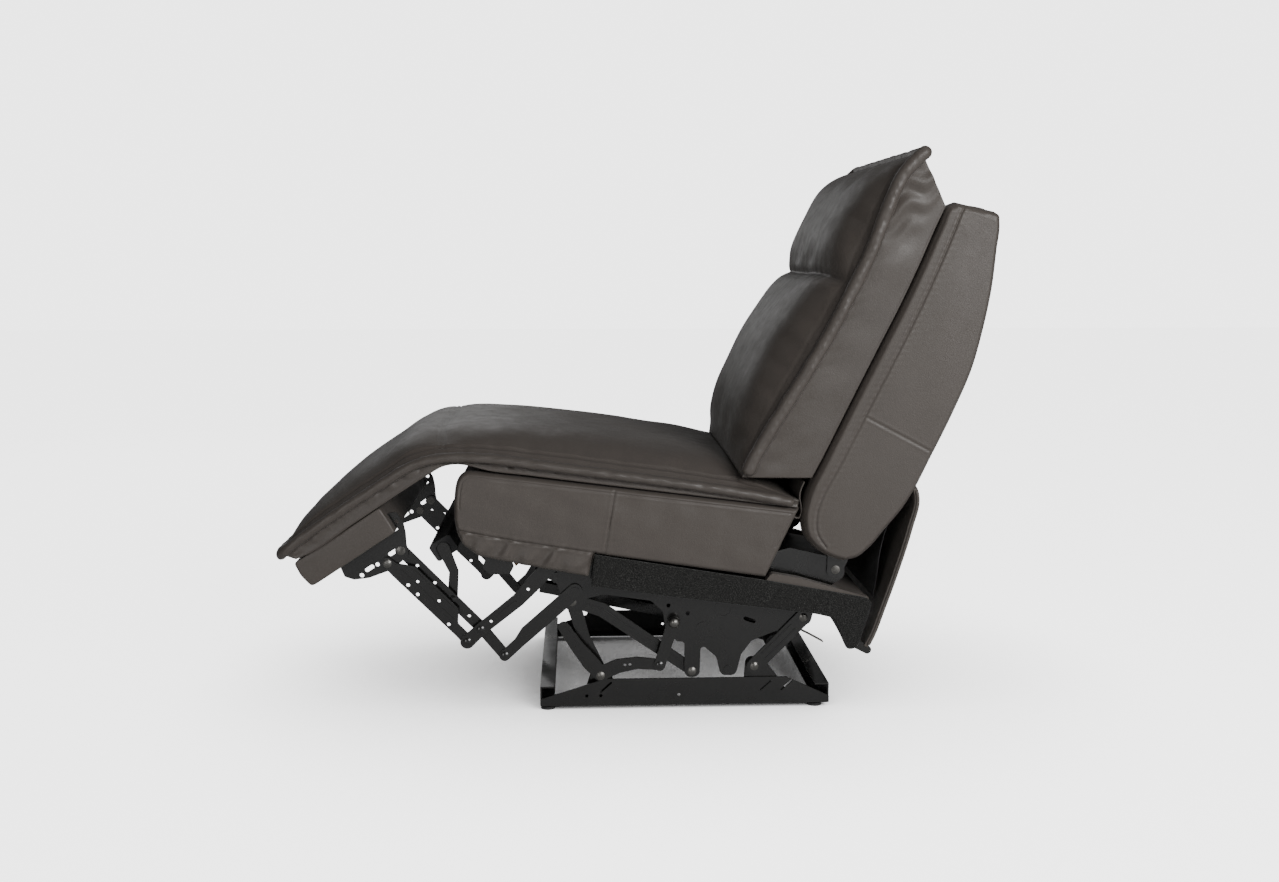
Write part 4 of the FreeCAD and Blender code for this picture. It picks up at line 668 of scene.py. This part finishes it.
def swollen(front, back, side, hold, pressure, cap, stride=3, frames=20):
    """How far a sewn cover moves when it is blown up over its filling. Every third row and column of the
    piece is run as cloth with pressure inside and no gravity, held along its seams by hold from 0 to 1. No
    point moves further than the cap, and the shifts are evened out with their neighbours and then spread
    back over all rows and columns in straight runs."""
    rows, cols = front.shape[:2]
    some_rows = np.unique(np.r_[np.arange(0, rows, stride), rows - 1])
    some_cols = np.unique(np.r_[np.arange(0, cols, stride), cols - 1])
    pick = np.ix_(some_rows, some_cols)
    trial = stuffed("trial_cover", front[pick], back[pick], 5, side, side_leather, False)
    mesh = trial.data
    rest = np.empty(len(mesh.vertices) * 3, np.float32)
    mesh.vertices.foreach_get("co", rest)
    count = len(some_rows) * len(some_cols)
    held = np.ones(len(mesh.vertices))
    held[:count] = hold[pick].ravel()
    group = trial.vertex_groups.new(name="held")
    for level in range(1, 11):
        group.add(np.nonzero(np.round(held * 10).astype(int) == level)[0].tolist(), level / 10, "REPLACE")
    cloth = trial.modifiers.new("fill", "CLOTH")
    cloth.settings.quality = 6
    cloth.settings.mass = 0.3
    cloth.settings.tension_stiffness = 15
    cloth.settings.compression_stiffness = 15
    cloth.settings.shear_stiffness = 6
    cloth.settings.bending_stiffness = 0.6
    cloth.settings.use_pressure = True
    cloth.settings.uniform_pressure_force = pressure
    cloth.settings.vertex_group_mass = "held"
    cloth.settings.effector_weights.gravity = 0
    cloth.settings.shrink_min = -0.03
    cloth.point_cache.frame_start = 1
    cloth.point_cache.frame_end = frames
    for number in range(1, frames + 1):
        bpy.context.scene.frame_set(number)
    moved = np.empty_like(rest)
    trial.evaluated_get(bpy.context.evaluated_depsgraph_get()).data.vertices.foreach_get("co", moved)
    bpy.context.scene.frame_set(1)
    bpy.data.objects.remove(trial)
    bpy.data.meshes.remove(mesh)
    step = (moved - rest).reshape(-1, 3)[:count].reshape(len(some_rows), len(some_cols), 3) * 1000.0
    size = np.linalg.norm(step, axis=-1, keepdims=True)
    step = step * np.minimum(1.0, cap / np.maximum(size, 1e-6))
    for _ in range(5):
        wide = np.pad(step, ((1, 1), (1, 1), (0, 0)), "edge")
        step = (wide[2:, 1:-1] + wide[:-2, 1:-1] + wide[1:-1, 2:] + wide[1:-1, :-2] + 4 * step) / 8
    step *= (1.0 - hold[pick])[..., None]
    wide = np.stack([[np.interp(np.arange(cols), some_cols, line[:, k]) for k in range(3)] for line in step])
    wide = wide.transpose(0, 2, 1).reshape(len(some_rows), -1)
    full = np.stack([np.interp(np.arange(rows), some_rows, wide[:, k]) for k in range(wide.shape[1])], -1)
    return full.reshape(rows, cols, 3)


def held(across, side, ends):
    """Hold at each point: 1 on the side seams, falling to 0 at 26 mm from them, and 1 where ends is 0."""
    from_side = np.minimum((1 - np.abs(across))[None] * side / 26.0, 1)
    return np.clip(1.0 - from_side * np.minimum(1, ends)[:, None], 0, 1)


pad_hold = held(across, pad_side, (pad_run[-1] - pad_run) / 30.0)
pad_hold = np.maximum(pad_hold, 0.5 * np.exp(-((pad_run - knee_at) / 12.0) ** 2)[:, None])
pad_front += swollen(pad_front, pad_back, gusset, pad_hold, 1.6, 6.0)
chaise = stuffed("chaise_pad", pad_front, pad_back, 9, gusset, pad_leather)
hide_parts("seat_pad", "knee_pad", "leg_pad")
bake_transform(chaise)


def frames_along(path, up):
    """Unit way, side and up vectors along a path, from its own direction and a wanted up."""
    way = np.gradient(path, axis=0)
    way /= np.linalg.norm(way, axis=1, keepdims=True)
    side = np.cross(way, up)
    side /= np.linalg.norm(side, axis=1, keepdims=True)
    return way, side, np.cross(side, way)


def fill_ends(mesh):
    """Closes the open rings at the ends of a roll."""
    bm = bmesh.new()
    bm.from_mesh(mesh)
    bmesh.ops.holes_fill(bm, edges=bm.edges, sides=0)
    bmesh.ops.recalc_face_normals(bm, faces=bm.faces)
    bm.to_mesh(mesh)
    bm.free()


def rolled_edge(name, path, up, wide, tall, seed, material, ripple=0.8, steps=28):
    """Padded roll: an ellipse carried along a path, puckered every few millimetres towards its seam, its two
    ends rounded off by shrinking the last rings."""
    way, side, lift = frames_along(path, up)
    turn = np.linspace(0, 2 * pi, steps, endpoint=False)
    run = np.r_[0.0, np.cumsum(np.linalg.norm(np.diff(path, axis=0), axis=1))]
    close = np.minimum(run, run[-1] - run) / (0.9 * wide)
    ends = np.sqrt(np.clip(1 - (1 - np.clip(close, 0, 1)) ** 2, 0.0004, 1))
    place = np.stack(np.broadcast_arrays(run[:, None], 30 * np.cos(turn)[None], 30 * np.sin(turn)[None]), -1)
    pucker = ripple * waves(place * [1.0, 0.6, 0.6], 12, 14, 60, seed)
    radius_side = (wide + pucker) * ends[:, None]
    radius_lift = (tall + 0.6 * pucker) * ends[:, None]
    co = (path[:, None] + side[:, None] * (radius_side * np.cos(turn))[..., None]
          + lift[:, None] * (radius_lift * np.sin(turn))[..., None])
    index = np.arange(len(path) * steps).reshape(len(path), steps)
    index = np.concatenate([index, index[:, :1]], 1)
    piece = mesh_piece(name, co.reshape(-1, 3), grid_quads(index), material)
    outward(piece.data)
    fill_ends(piece.data)
    return piece


def eased(path, reach, passes=2):
    """Path with its corners rounded by averaging over reach points each way."""
    for _ in range(passes):
        ext = np.concatenate([np.repeat(path[:1], reach, 0), path, np.repeat(path[-1:], reach, 0)])
        total = np.cumsum(np.concatenate([np.zeros((1, path.shape[1])), ext]), axis=0)
        path = (total[2 * reach + 1:] - total[:-2 * reach - 1]) / (2 * reach + 1)
    return path


def at_side(x, line):
    """A line in (Y, Z) placed at one x."""
    return np.concatenate([np.full((len(line), 1), x), line], 1)


mirrored = np.array([-1.0, 1.0, 1.0])
left_line = at_side(pad_side, pad_edge)
toe_x = np.linspace(pad_side, -pad_side, 110)[1:-1]
toe_line = np.concatenate([toe_x[:, None], np.tile(pad_edge[-1], (len(toe_x), 1))], 1)
edge_line = np.concatenate([left_line, toe_line, (left_line * mirrored)[::-1]])
edge_line = eased(straight(edge_line, 760), 5)
edge_up = np.zeros_like(edge_line)
for axis in (0, 1):
    edge_up[:, 1 + axis] = np.interp(edge_line[:, 1], pad_middle[::-1, 0], pad_up[::-1, axis])
edge_line[:, 1:] -= 7.0 * edge_up[:, 1:]
pad_roll = rolled_edge("chaise_pad_roll", edge_line, edge_up, 13.0, 10.0, 54, pad_leather)
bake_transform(pad_roll)


# Footrest board: a wooden board wrapped in leather, folded in at both ends like a parcel and stapled behind.
# The steel brackets are screwed to it.
def loaf(name, outline, half, rounding, material, swell=1.5, seed=61):
    """Closed outline in (Y, Z) carried across the chair. Near each end it shrinks along a quarter circle, and
    the end face is filled by smaller copies of the outline, slightly puffed."""
    centre = outline.mean(0)
    reach = np.linalg.norm(outline - centre, axis=1)
    turn = np.linspace(0, pi / 2, 8)
    cap_scale = np.linspace(0.02, 1.0, 14)[:-1]
    cap_x = half + swell * (1 - cap_scale**3)
    round_x, round_in = half - rounding * (1 - np.cos(turn)), rounding * (1 - np.sin(turn))
    long_x = np.linspace(half - rounding, -(half - rounding), 90)[1:-1]
    x = np.concatenate([cap_x, round_x, long_x, -round_x[::-1], -cap_x[::-1]])
    scale = np.concatenate([cap_scale, np.ones(2 * len(turn) + len(long_x)), cap_scale[::-1]])
    flat_end = np.full(len(cap_scale), rounding)
    inset = np.concatenate([flat_end, round_in, np.zeros(len(long_x)), round_in[::-1], flat_end])
    size = scale[:, None] * np.clip(1 - inset[:, None] / reach[None], 0.02, 1)
    co = np.empty((len(x), len(outline), 3))
    co[..., 0] = x[:, None]
    co[..., 1:] = centre + (outline - centre)[None] * size[..., None]
    lumps = 0.5 * waves(co.reshape(-1, 3), 10, 50, 200, seed).reshape(len(x), -1) * scale[:, None]
    co[..., 1:] += lumps[..., None] * (outline - centre)[None] / reach[None, :, None]
    index = np.arange(len(x) * len(outline)).reshape(len(x), -1)
    index = np.concatenate([index, index[:, :1]], 1)
    piece = mesh_piece(name, co.reshape(-1, 3), grid_quads(index), material)
    outward(piece.data)
    fill_ends(piece.data)
    return piece


board_half = 300.0
board_outline = [(167.0, 30.0), (167.0, 63.0), (364.0, 63.5), (367.0, 36.0), (362.0, 8.0), (352.0, 6.4),
                 (168.0, 6.4), (167.0, 28.0)]
board_line = leg(*straight(board_outline, 260, 9.0)[:-1].T)
board = loaf("footrest_board_leather", board_line, board_half, 5.0, side_leather)
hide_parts("footrest_board")
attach(board, "footrest")


# Back shell: two thick leather covered side boards with a leather wall between them at the rear. Each side
# has a narrow border sewn along its front, a seam across at arm height and one along the top.
shell_in, shell_thick, shell_rows = 277.8, 44.0, 100
front_edge = through([(399.0, 304.5), (372.0, 313.0), (344.0, 330.0), (323.0, 356.0), (317.0, 392.0),
                      (325.0, 436.0), (353.0, 499.0), (387.0, 569.0), (426.0, 649.0), (459.0, 716.0),
                      (500.0, 799.0), (537.0, 881.0), (566.0, 950.0), (582.0, 984.0), (600.0, 992.0)], 300)
rear_edge = through([(399.0, 304.5), (426.0, 311.0), (450.0, 330.0), (480.0, 366.0), (514.0, 408.0),
                     (570.0, 515.0), (608.0, 596.0), (641.0, 677.0), (660.0, 752.0), (674.0, 828.0),
                     (681.0, 900.0), (685.0, 955.0), (683.0, 968.0), (673.0, 975.0)], 300)
border_seam = through([(362.0, 336.0), (346.0, 360.0), (343.0, 396.0), (354.0, 434.0), (384.0, 492.0),
                       (419.0, 562.0), (458.0, 641.0), (491.0, 707.0), (531.0, 790.0), (567.0, 872.0),
                       (594.0, 938.0), (608.0, 974.0), (616.0, 988.0)], 60)
arm_seam = np.array([(430.0, 590.0), (500.0, 553.0), (590.0, 505.0)])
top_seam = np.array([(592.0, 978.0), (632.0, 976.0), (680.0, 958.0)])


def shell_relief(points, edge):
    """Side of the shell: soft crown, border seam down the front, arm seam and top seam with small puckers."""
    front = line_distance(points, border_seam)
    arm = line_distance(points, arm_seam)
    top = line_distance(points, top_seam)
    thick = shell_thick - 2.0 + 3.4 * (1 - np.exp(-edge / 46.0))
    thick += seam(front, 2.3, 1.7) + seam(edge - 6.0, 1.3, 1.3)
    thick += seam(arm, 2.4, 1.5) * (front < 2) + seam(top, 1.3, 1.5)
    thick += 0.35 * np.sin(points[:, 1] * 2 * pi / 12.0) * np.exp(-np.abs(front) / 8.0)
    return thick + 0.8 * waves(points, 9, 80, 360, 71)


shell_sides = side_panels("shell_leather", front_edge, rear_edge, shell_rows, shell_relief, shell_in,
                          side_leather, 13.0)
for cover, node in zip(shell_sides, ("left_back_side", "right_back_side")):
    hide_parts(node)
    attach(cover, "back")

wall_half, wall_depth, wall_rows, wall_length = 277.4, 11.0, 170, 760
wall_line = through([(596.0, 986.0), (640.0, 985.0), (668.0, 976.0), (681.0, 955.0), (673.0, 827.0),
                     (640.0, 676.0), (568.0, 515.0), (512.0, 409.0), (452.0, 333.0)], wall_rows)
wall_normal = square_to(wall_line)
across = np.linspace(-1.0, 1.0, 141)
wall_flat = laid_flat(wall_half * across, np.linspace(0, wall_length, wall_rows))
bulge = 4.5 * (1 - np.abs(across) ** 5)[None] * np.sin(np.linspace(0, pi, wall_rows))[:, None] ** 0.6
bulge = bulge + 0.8 * waves(wall_flat, 10, 90, 380, 72) * (1 - np.abs(across) ** 6)[None]
bulge += seam(wall_flat[..., 1] - 505.0, 2.0, 1.8)
bulge += seam((1 - np.abs(across)) * wall_half - 14.0, 1.2, 1.5)[None]
wall_out = spanned(wall_half * across, wall_line)
wall_out[..., 1:] += bulge[..., None] * wall_normal[:, None]
wall_in = spanned(wall_half * across, wall_line - wall_depth * wall_normal)
rear_wall = stuffed("shell_rear_leather", wall_out, wall_in, 3, plain_wall, side_leather)
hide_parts("back_cover")
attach(rear_wall, "back")


# Back lining: black cloth across the shell's lower front, behind the cushion. It is stapled to the rails and
# keeps them out of sight when the back reclines and the cushion lifts off the pad.
lining_path = through([(326.0, 382.0), (328.5, 410.0), (333.0, 440.0), (341.5, 470.0), (356.0, 501.0),
                       (373.0, 536.0), (391.0, 573.0)], 60)
back_lining = draped("back_lining", lining_path, shell_in - 1.0, 60, 1.0, 1.5, 91, black_cloth)
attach(back_lining, "back")

# Back cushion: a lumbar and a head part filled with fibre, in one leather cover with a crease sewn between. A
# fat rolled edge runs up both sides and over the top, peaked at the corners, with gathered gussets behind it.
cushion_rows, cushion_cols = 210, 121
cushion_side, gusset_side = 311.0, 316.0
crease_point = [349.0, 862.0]
cushion_edge = through([(200.0, 471.0), (235.0, 540.0), (272.0, 601.0), (341.0, 715.0), (409.0, 845.0),
                        (441.0, 915.0), (468.0, 990.0), (501.0, 1055.0), (530.0, 1084.0)], cushion_rows)
cushion_middle = through([(183.0, 500.0), (186.0, 545.0), (197.0, 600.0), (226.0, 670.0), (270.0, 752.0),
                          (322.0, 826.0), crease_point, (364.0, 905.0), (398.0, 976.0),
                          (438.0, 1036.0), (478.0, 1066.0), (519.0, 1080.0)], cushion_rows)
cushion_rear = through([(334.0, 469.0), (351.0, 501.0), (385.0, 571.0), (424.0, 651.0), (457.0, 718.0),
                        (498.0, 801.0), (535.0, 883.0), (564.0, 952.0), (579.0, 984.0)], cushion_rows)
across = np.sin(np.linspace(-pi / 2, pi / 2, cushion_cols) * 0.97)
across /= across[-1]
rise = np.linspace(0.0, 1.0, cushion_rows)
power = 4.2 + 2.0 * rise
pillow = 1 - np.abs(across)[None] ** power[:, None]
cushion_face = spanned(cushion_side * across, cushion_edge)
cushion_face[..., 1:] += (cushion_middle - cushion_edge)[:, None] * pillow[..., None]
cushion_out = square_to(cushion_middle)
run = np.r_[0.0, np.cumsum(np.linalg.norm(np.diff(cushion_middle, axis=0), axis=1))]
crease_at = run[np.linalg.norm(cushion_middle - crease_point, axis=1).argmin()]
flat_place = laid_flat(cushion_side * across, run)
crease_line = run[:, None] - crease_at - 10.0 * np.abs(across)[None] ** 3
fade = 1 - np.abs(across)[None] ** 9
dip = -11.0 * np.exp(-np.abs(crease_line) / 6.5) * fade - 2.5 * np.exp(-(crease_line / 40.0) ** 2) * fade
lip = 3.0 * np.exp(-((crease_line + 22.0) / 15.0) ** 2) * fade
tugs = 1.3 * np.exp(-np.abs(crease_line) / 34.0) * waves(flat_place * [1.0, 0.25], 9, 24, 80, 81) * fade
rumple = 1.5 * waves(flat_place, 10, 110, 420, 82) * fade
side_pull = np.exp(-(1 - np.abs(across)) * cushion_side / 30.0)[None]
rumple = rumple + 1.5 * side_pull * waves(flat_place * [0.3, 1.0], 10, 22, 70, 83)
border = seam((1 - np.abs(across)) * cushion_side - 16.0, 1.5, 2.0)[None]
ends_in = np.clip(np.minimum(rise, 1 - rise) * 22, 0, 1)[:, None]
cushion_face[..., 1:] += ((dip + lip + tugs + rumple + border) * ends_in)[..., None] * cushion_out[:, None]
cushion_back = spanned((gusset_side - 6.0) * across, cushion_rear)


def cushion_gusset(f, start, end, along):
    """Side of the cushion: bowed out a little, with deep folds that fan from the roll near the top and the
    bottom and fade towards the shell."""
    wall = start + (end - start) * f
    bow = 6.0 * sin(pi * f)
    low = np.exp(-((wall[:, 2] - 500.0) / 60.0) ** 2)
    high = np.exp(-((wall[:, 2] - 1000.0) / 75.0) ** 2)
    slant = wall[:, 2] - 0.55 * (wall[:, 1] - 500.0)
    drift = 2.6 * waves(wall[:, 1:] * [1.0, 0.4], 6, 70, 220, 87)
    fan = np.sin(slant * 2 * pi / 40.0 + drift) * (3.8 * high + 1.5 * low)
    fan *= (1 - 0.7 * f) * sin(pi * min(1, f + 0.12))
    small = 1.6 * waves(np.stack([wall[:, 2], wall[:, 1] * 0.4], -1), 12, 16, 60, 84)
    small *= (1 - f) ** 5 * min(1, 6 * f)
    soft = 1.5 * waves(np.stack([wall[:, 2], wall[:, 1]], -1), 8, 80, 260, 85) * sin(pi * f)
    on_side = np.clip((np.abs(wall[:, 0]) - 296.0) / 8.0, 0, 1)
    wall[:, 0] += np.sign(wall[:, 0]) * on_side * (bow * 0.6 + fan + small + soft - 2.0)
    return wall


cushion_hold = held(across, cushion_side, np.minimum(rise, 1 - rise) * 16)
cushion_hold = np.maximum(cushion_hold, 0.8 * np.exp(-(crease_line / 11.0) ** 2))
cushion_face += swollen(cushion_face, cushion_back, cushion_gusset, cushion_hold, 1.6, 7.0)
cushion = stuffed("back_cushion", cushion_face, cushion_back, 34, cushion_gusset, pad_leather)
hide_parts("lumbar_cushion", "head_cushion")
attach(cushion, "back")

left_line = at_side(cushion_side + 1.0, cushion_edge)
sag = np.linspace(-1.0, 1.0, 100)[1:-1]
top_line = np.stack([-cushion_side * sag, 536.0 - 16.0 * (1 - np.abs(sag) ** 2.2),
                     1086.0 - 5.0 * (1 - np.abs(sag) ** 3)], -1)
ear = np.array([[cushion_side - 1.0, 540.0, 1091.0]])
roll_line = np.concatenate([left_line, ear, top_line, ear * mirrored, (left_line * mirrored)[::-1]])
roll_line = eased(straight(roll_line, 900), 5)
gusset_way = cushion_rear - cushion_edge
toward_rear = np.zeros_like(roll_line)
for axis in (0, 1):
    toward_rear[:, 1 + axis] = np.interp(roll_line[:, 2], cushion_edge[:, 1], gusset_way[:, axis])
roll_line += 4.5 * toward_rear / np.linalg.norm(toward_rear, axis=1, keepdims=True)
cushion_roll = rolled_edge("back_cushion_roll", roll_line, -toward_rear, 12.5, 13.0, 86, pad_leather,
                           1.0)
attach(cushion_roll, "back")


# Rear drop panel: a curved board padded thin and covered in leather with a piped edge, hinged below the
# skirts' tabs. It hangs behind the back and follows it as it reclines.
panel_half, panel_depth, panel_rows, panel_length = 309.0, 10.5, 130, 330
panel_line = through([(541.0, 449.0), (545.5, 432.0), (533.0, 368.0), (508.0, 282.0), (482.0, 205.0),
                      (462.0, 150.0), (452.0, 131.0)], panel_rows)
panel_normal = square_to(panel_line)
across = np.linspace(-1.0, 1.0, 151)
panel_flat = laid_flat(panel_half * across, np.linspace(0, panel_length, panel_rows))
puff = 3.0 * (1 - np.abs(across) ** 7)[None] * np.sin(np.linspace(0, pi, panel_rows))[:, None] ** 0.4
puff = puff + 0.9 * waves(panel_flat, 10, 60, 260, 91)
edge_pull = 0.8 * np.exp(-(1 - np.abs(across)) * 40)[None]
puff += edge_pull * waves(panel_flat * [0.4, 1.0], 8, 18, 60, 92)
panel_out = spanned(panel_half * across, panel_line)
panel_out[..., 1:] += (puff - 2.5)[..., None] * panel_normal[:, None]
panel_in = spanned(panel_half * across, panel_line - panel_depth * panel_normal)
rear_leather = stuffed("rear_panel_leather", panel_out, panel_in, 3, plain_wall, side_leather)
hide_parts("rear_panel")
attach(rear_leather, "rear_panel")

piping_side = at_side(panel_half, panel_line - 4.0 * panel_normal)
piping_x = np.linspace(panel_half, -panel_half, 90)[1:-1]
piping_top = np.concatenate([piping_x[:, None], np.tile(piping_side[0, 1:], (len(piping_x), 1))], 1)
piping_line = np.concatenate([piping_side[::-1], piping_top, piping_side * mirrored])
piping_line = eased(straight(piping_line, 520), 4)
piping_up = np.tile([0.0, 1.0, 0.25], (len(piping_line), 1))
piping = rolled_edge("rear_panel_piping", piping_line, piping_up, 3.6, 3.6, 93, side_leather,
                     0.15, 14)
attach(piping, "rear_panel")


# Setting: a pale floor that emits light to the camera, with a soft shadow partly cast by the lamps and partly
# painted into that emission near the chair; a large soft light from the viewer's right and above, weaker ones
# from the left, from the far side and from the top, and the photograph's own viewpoint.
floor_mesh = bpy.data.meshes.new("floor")
reach = 14.0
corners = [(-reach, -reach, 0.0), (reach, -reach, 0.0), (reach, reach, 0.0), (-reach, reach, 0.0)]
floor_mesh.from_pydata(corners, [], [(0, 1, 2, 3)])
floor_material, tree, shader, place = new_material("pale_floor")
floor_tone = shades(tree, noise(tree, place, 1.5), [(0.0, (0.8, 0.8, 0.8)), (1.0, (0.84, 0.84, 0.84))])
tree.links.new(floor_tone, shader.inputs["Base Color"])
shader.inputs["Roughness"].default_value = 0.8
shader.inputs["Specular IOR Level"].default_value = 0.1
shader.inputs["Emission Color"].default_value = (1.0, 1.0, 1.0, 1.0)
# Painted shadow: camera rays see the floor emit light up to 3.2, dimmed by ambient occlusion within 0.7 m, so
# a soft shadow is painted round the chair; other rays see only the diffuse floor, which also takes the lamps'
# real shadows.
seen = tree.nodes.new("ShaderNodeLightPath").outputs["Is Camera Ray"]
shade = tree.nodes.new("ShaderNodeAmbientOcclusion")
shade.inputs["Distance"].default_value = 0.7
painted_glow_and_shadow = tree.nodes.new("ShaderNodeMath")
painted_glow_and_shadow.operation = "MULTIPLY"
tree.links.new(seen, painted_glow_and_shadow.inputs[0])
tree.links.new(spread(tree, shade.outputs["AO"], 0.0, 3.2, 0.1, 0.95), painted_glow_and_shadow.inputs[1])
tree.links.new(painted_glow_and_shadow.outputs["Value"], shader.inputs["Emission Strength"])
floor_mesh.materials.append(floor_material)
floor = bpy.data.objects.new("floor", floor_mesh)
bpy.context.scene.collection.objects.link(floor)

world = bpy.data.worlds.new("studio")
world.use_nodes = True
tree = world.node_tree
tree.nodes["Background"].inputs["Color"].default_value = (1.0, 1.0, 1.0, 1.0)
seen = tree.nodes.new("ShaderNodeLightPath").outputs["Is Camera Ray"]
tree.links.new(spread(tree, seen, 0.13, 3.5, 0.0, 1.0), tree.nodes["Background"].inputs["Strength"])
bpy.context.scene.world = world


def softbox(name, place, target, size, watts):
    """Large square light that faces a point."""
    data = bpy.data.lights.new(name, "AREA")
    data.shape = "RECTANGLE"
    data.size, data.size_y = size
    data.energy = watts
    lamp = bpy.data.objects.new(name, data)
    facing = (Vector(target) - Vector(place)).to_track_quat("-Z", "Y").to_matrix().to_4x4()
    lamp.matrix_world = Matrix.Translation(place) @ facing
    bpy.context.scene.collection.objects.link(lamp)


softbox("side_light", (3.9, 2.5, 2.3), (0.0, 0.0, 0.5), (2.4, 2.0), 235.0)
softbox("front_side_light", (4.4, -2.6, 1.1), (0.0, 0.0, 0.5), (1.2, 2.0), 42.0)
softbox("far_light", (-3.6, -1.2, 2.2), (0.0, 0.0, 0.5), (2.2, 2.2), 14.0)
softbox("top_light", (0.6, 0.8, 3.4), (0.0, 0.1, 0.4), (1.8, 1.8), 6.0)

pan, tip = radians(2.5954), radians(7.7110)
focal_px, picture_px, sensor_mm = 1366.31, 1279.0, 36.0
camera_place = (2.88, -0.113, 0.8912)
forward = Vector((-cos(tip) * cos(pan), cos(tip) * sin(pan), -sin(tip)))
right = Vector((sin(pan), cos(pan), 0.0))
camera_data = bpy.data.cameras.new("camera")
camera_data.sensor_width = sensor_mm
camera_data.lens = focal_px / picture_px * sensor_mm
camera = bpy.data.objects.new("camera", camera_data)
turned = Matrix((right, right.cross(forward), -forward)).transposed().to_4x4()
camera.matrix_world = Matrix.Translation(camera_place) @ turned
bpy.context.scene.collection.objects.link(camera)
bpy.context.scene.camera = camera
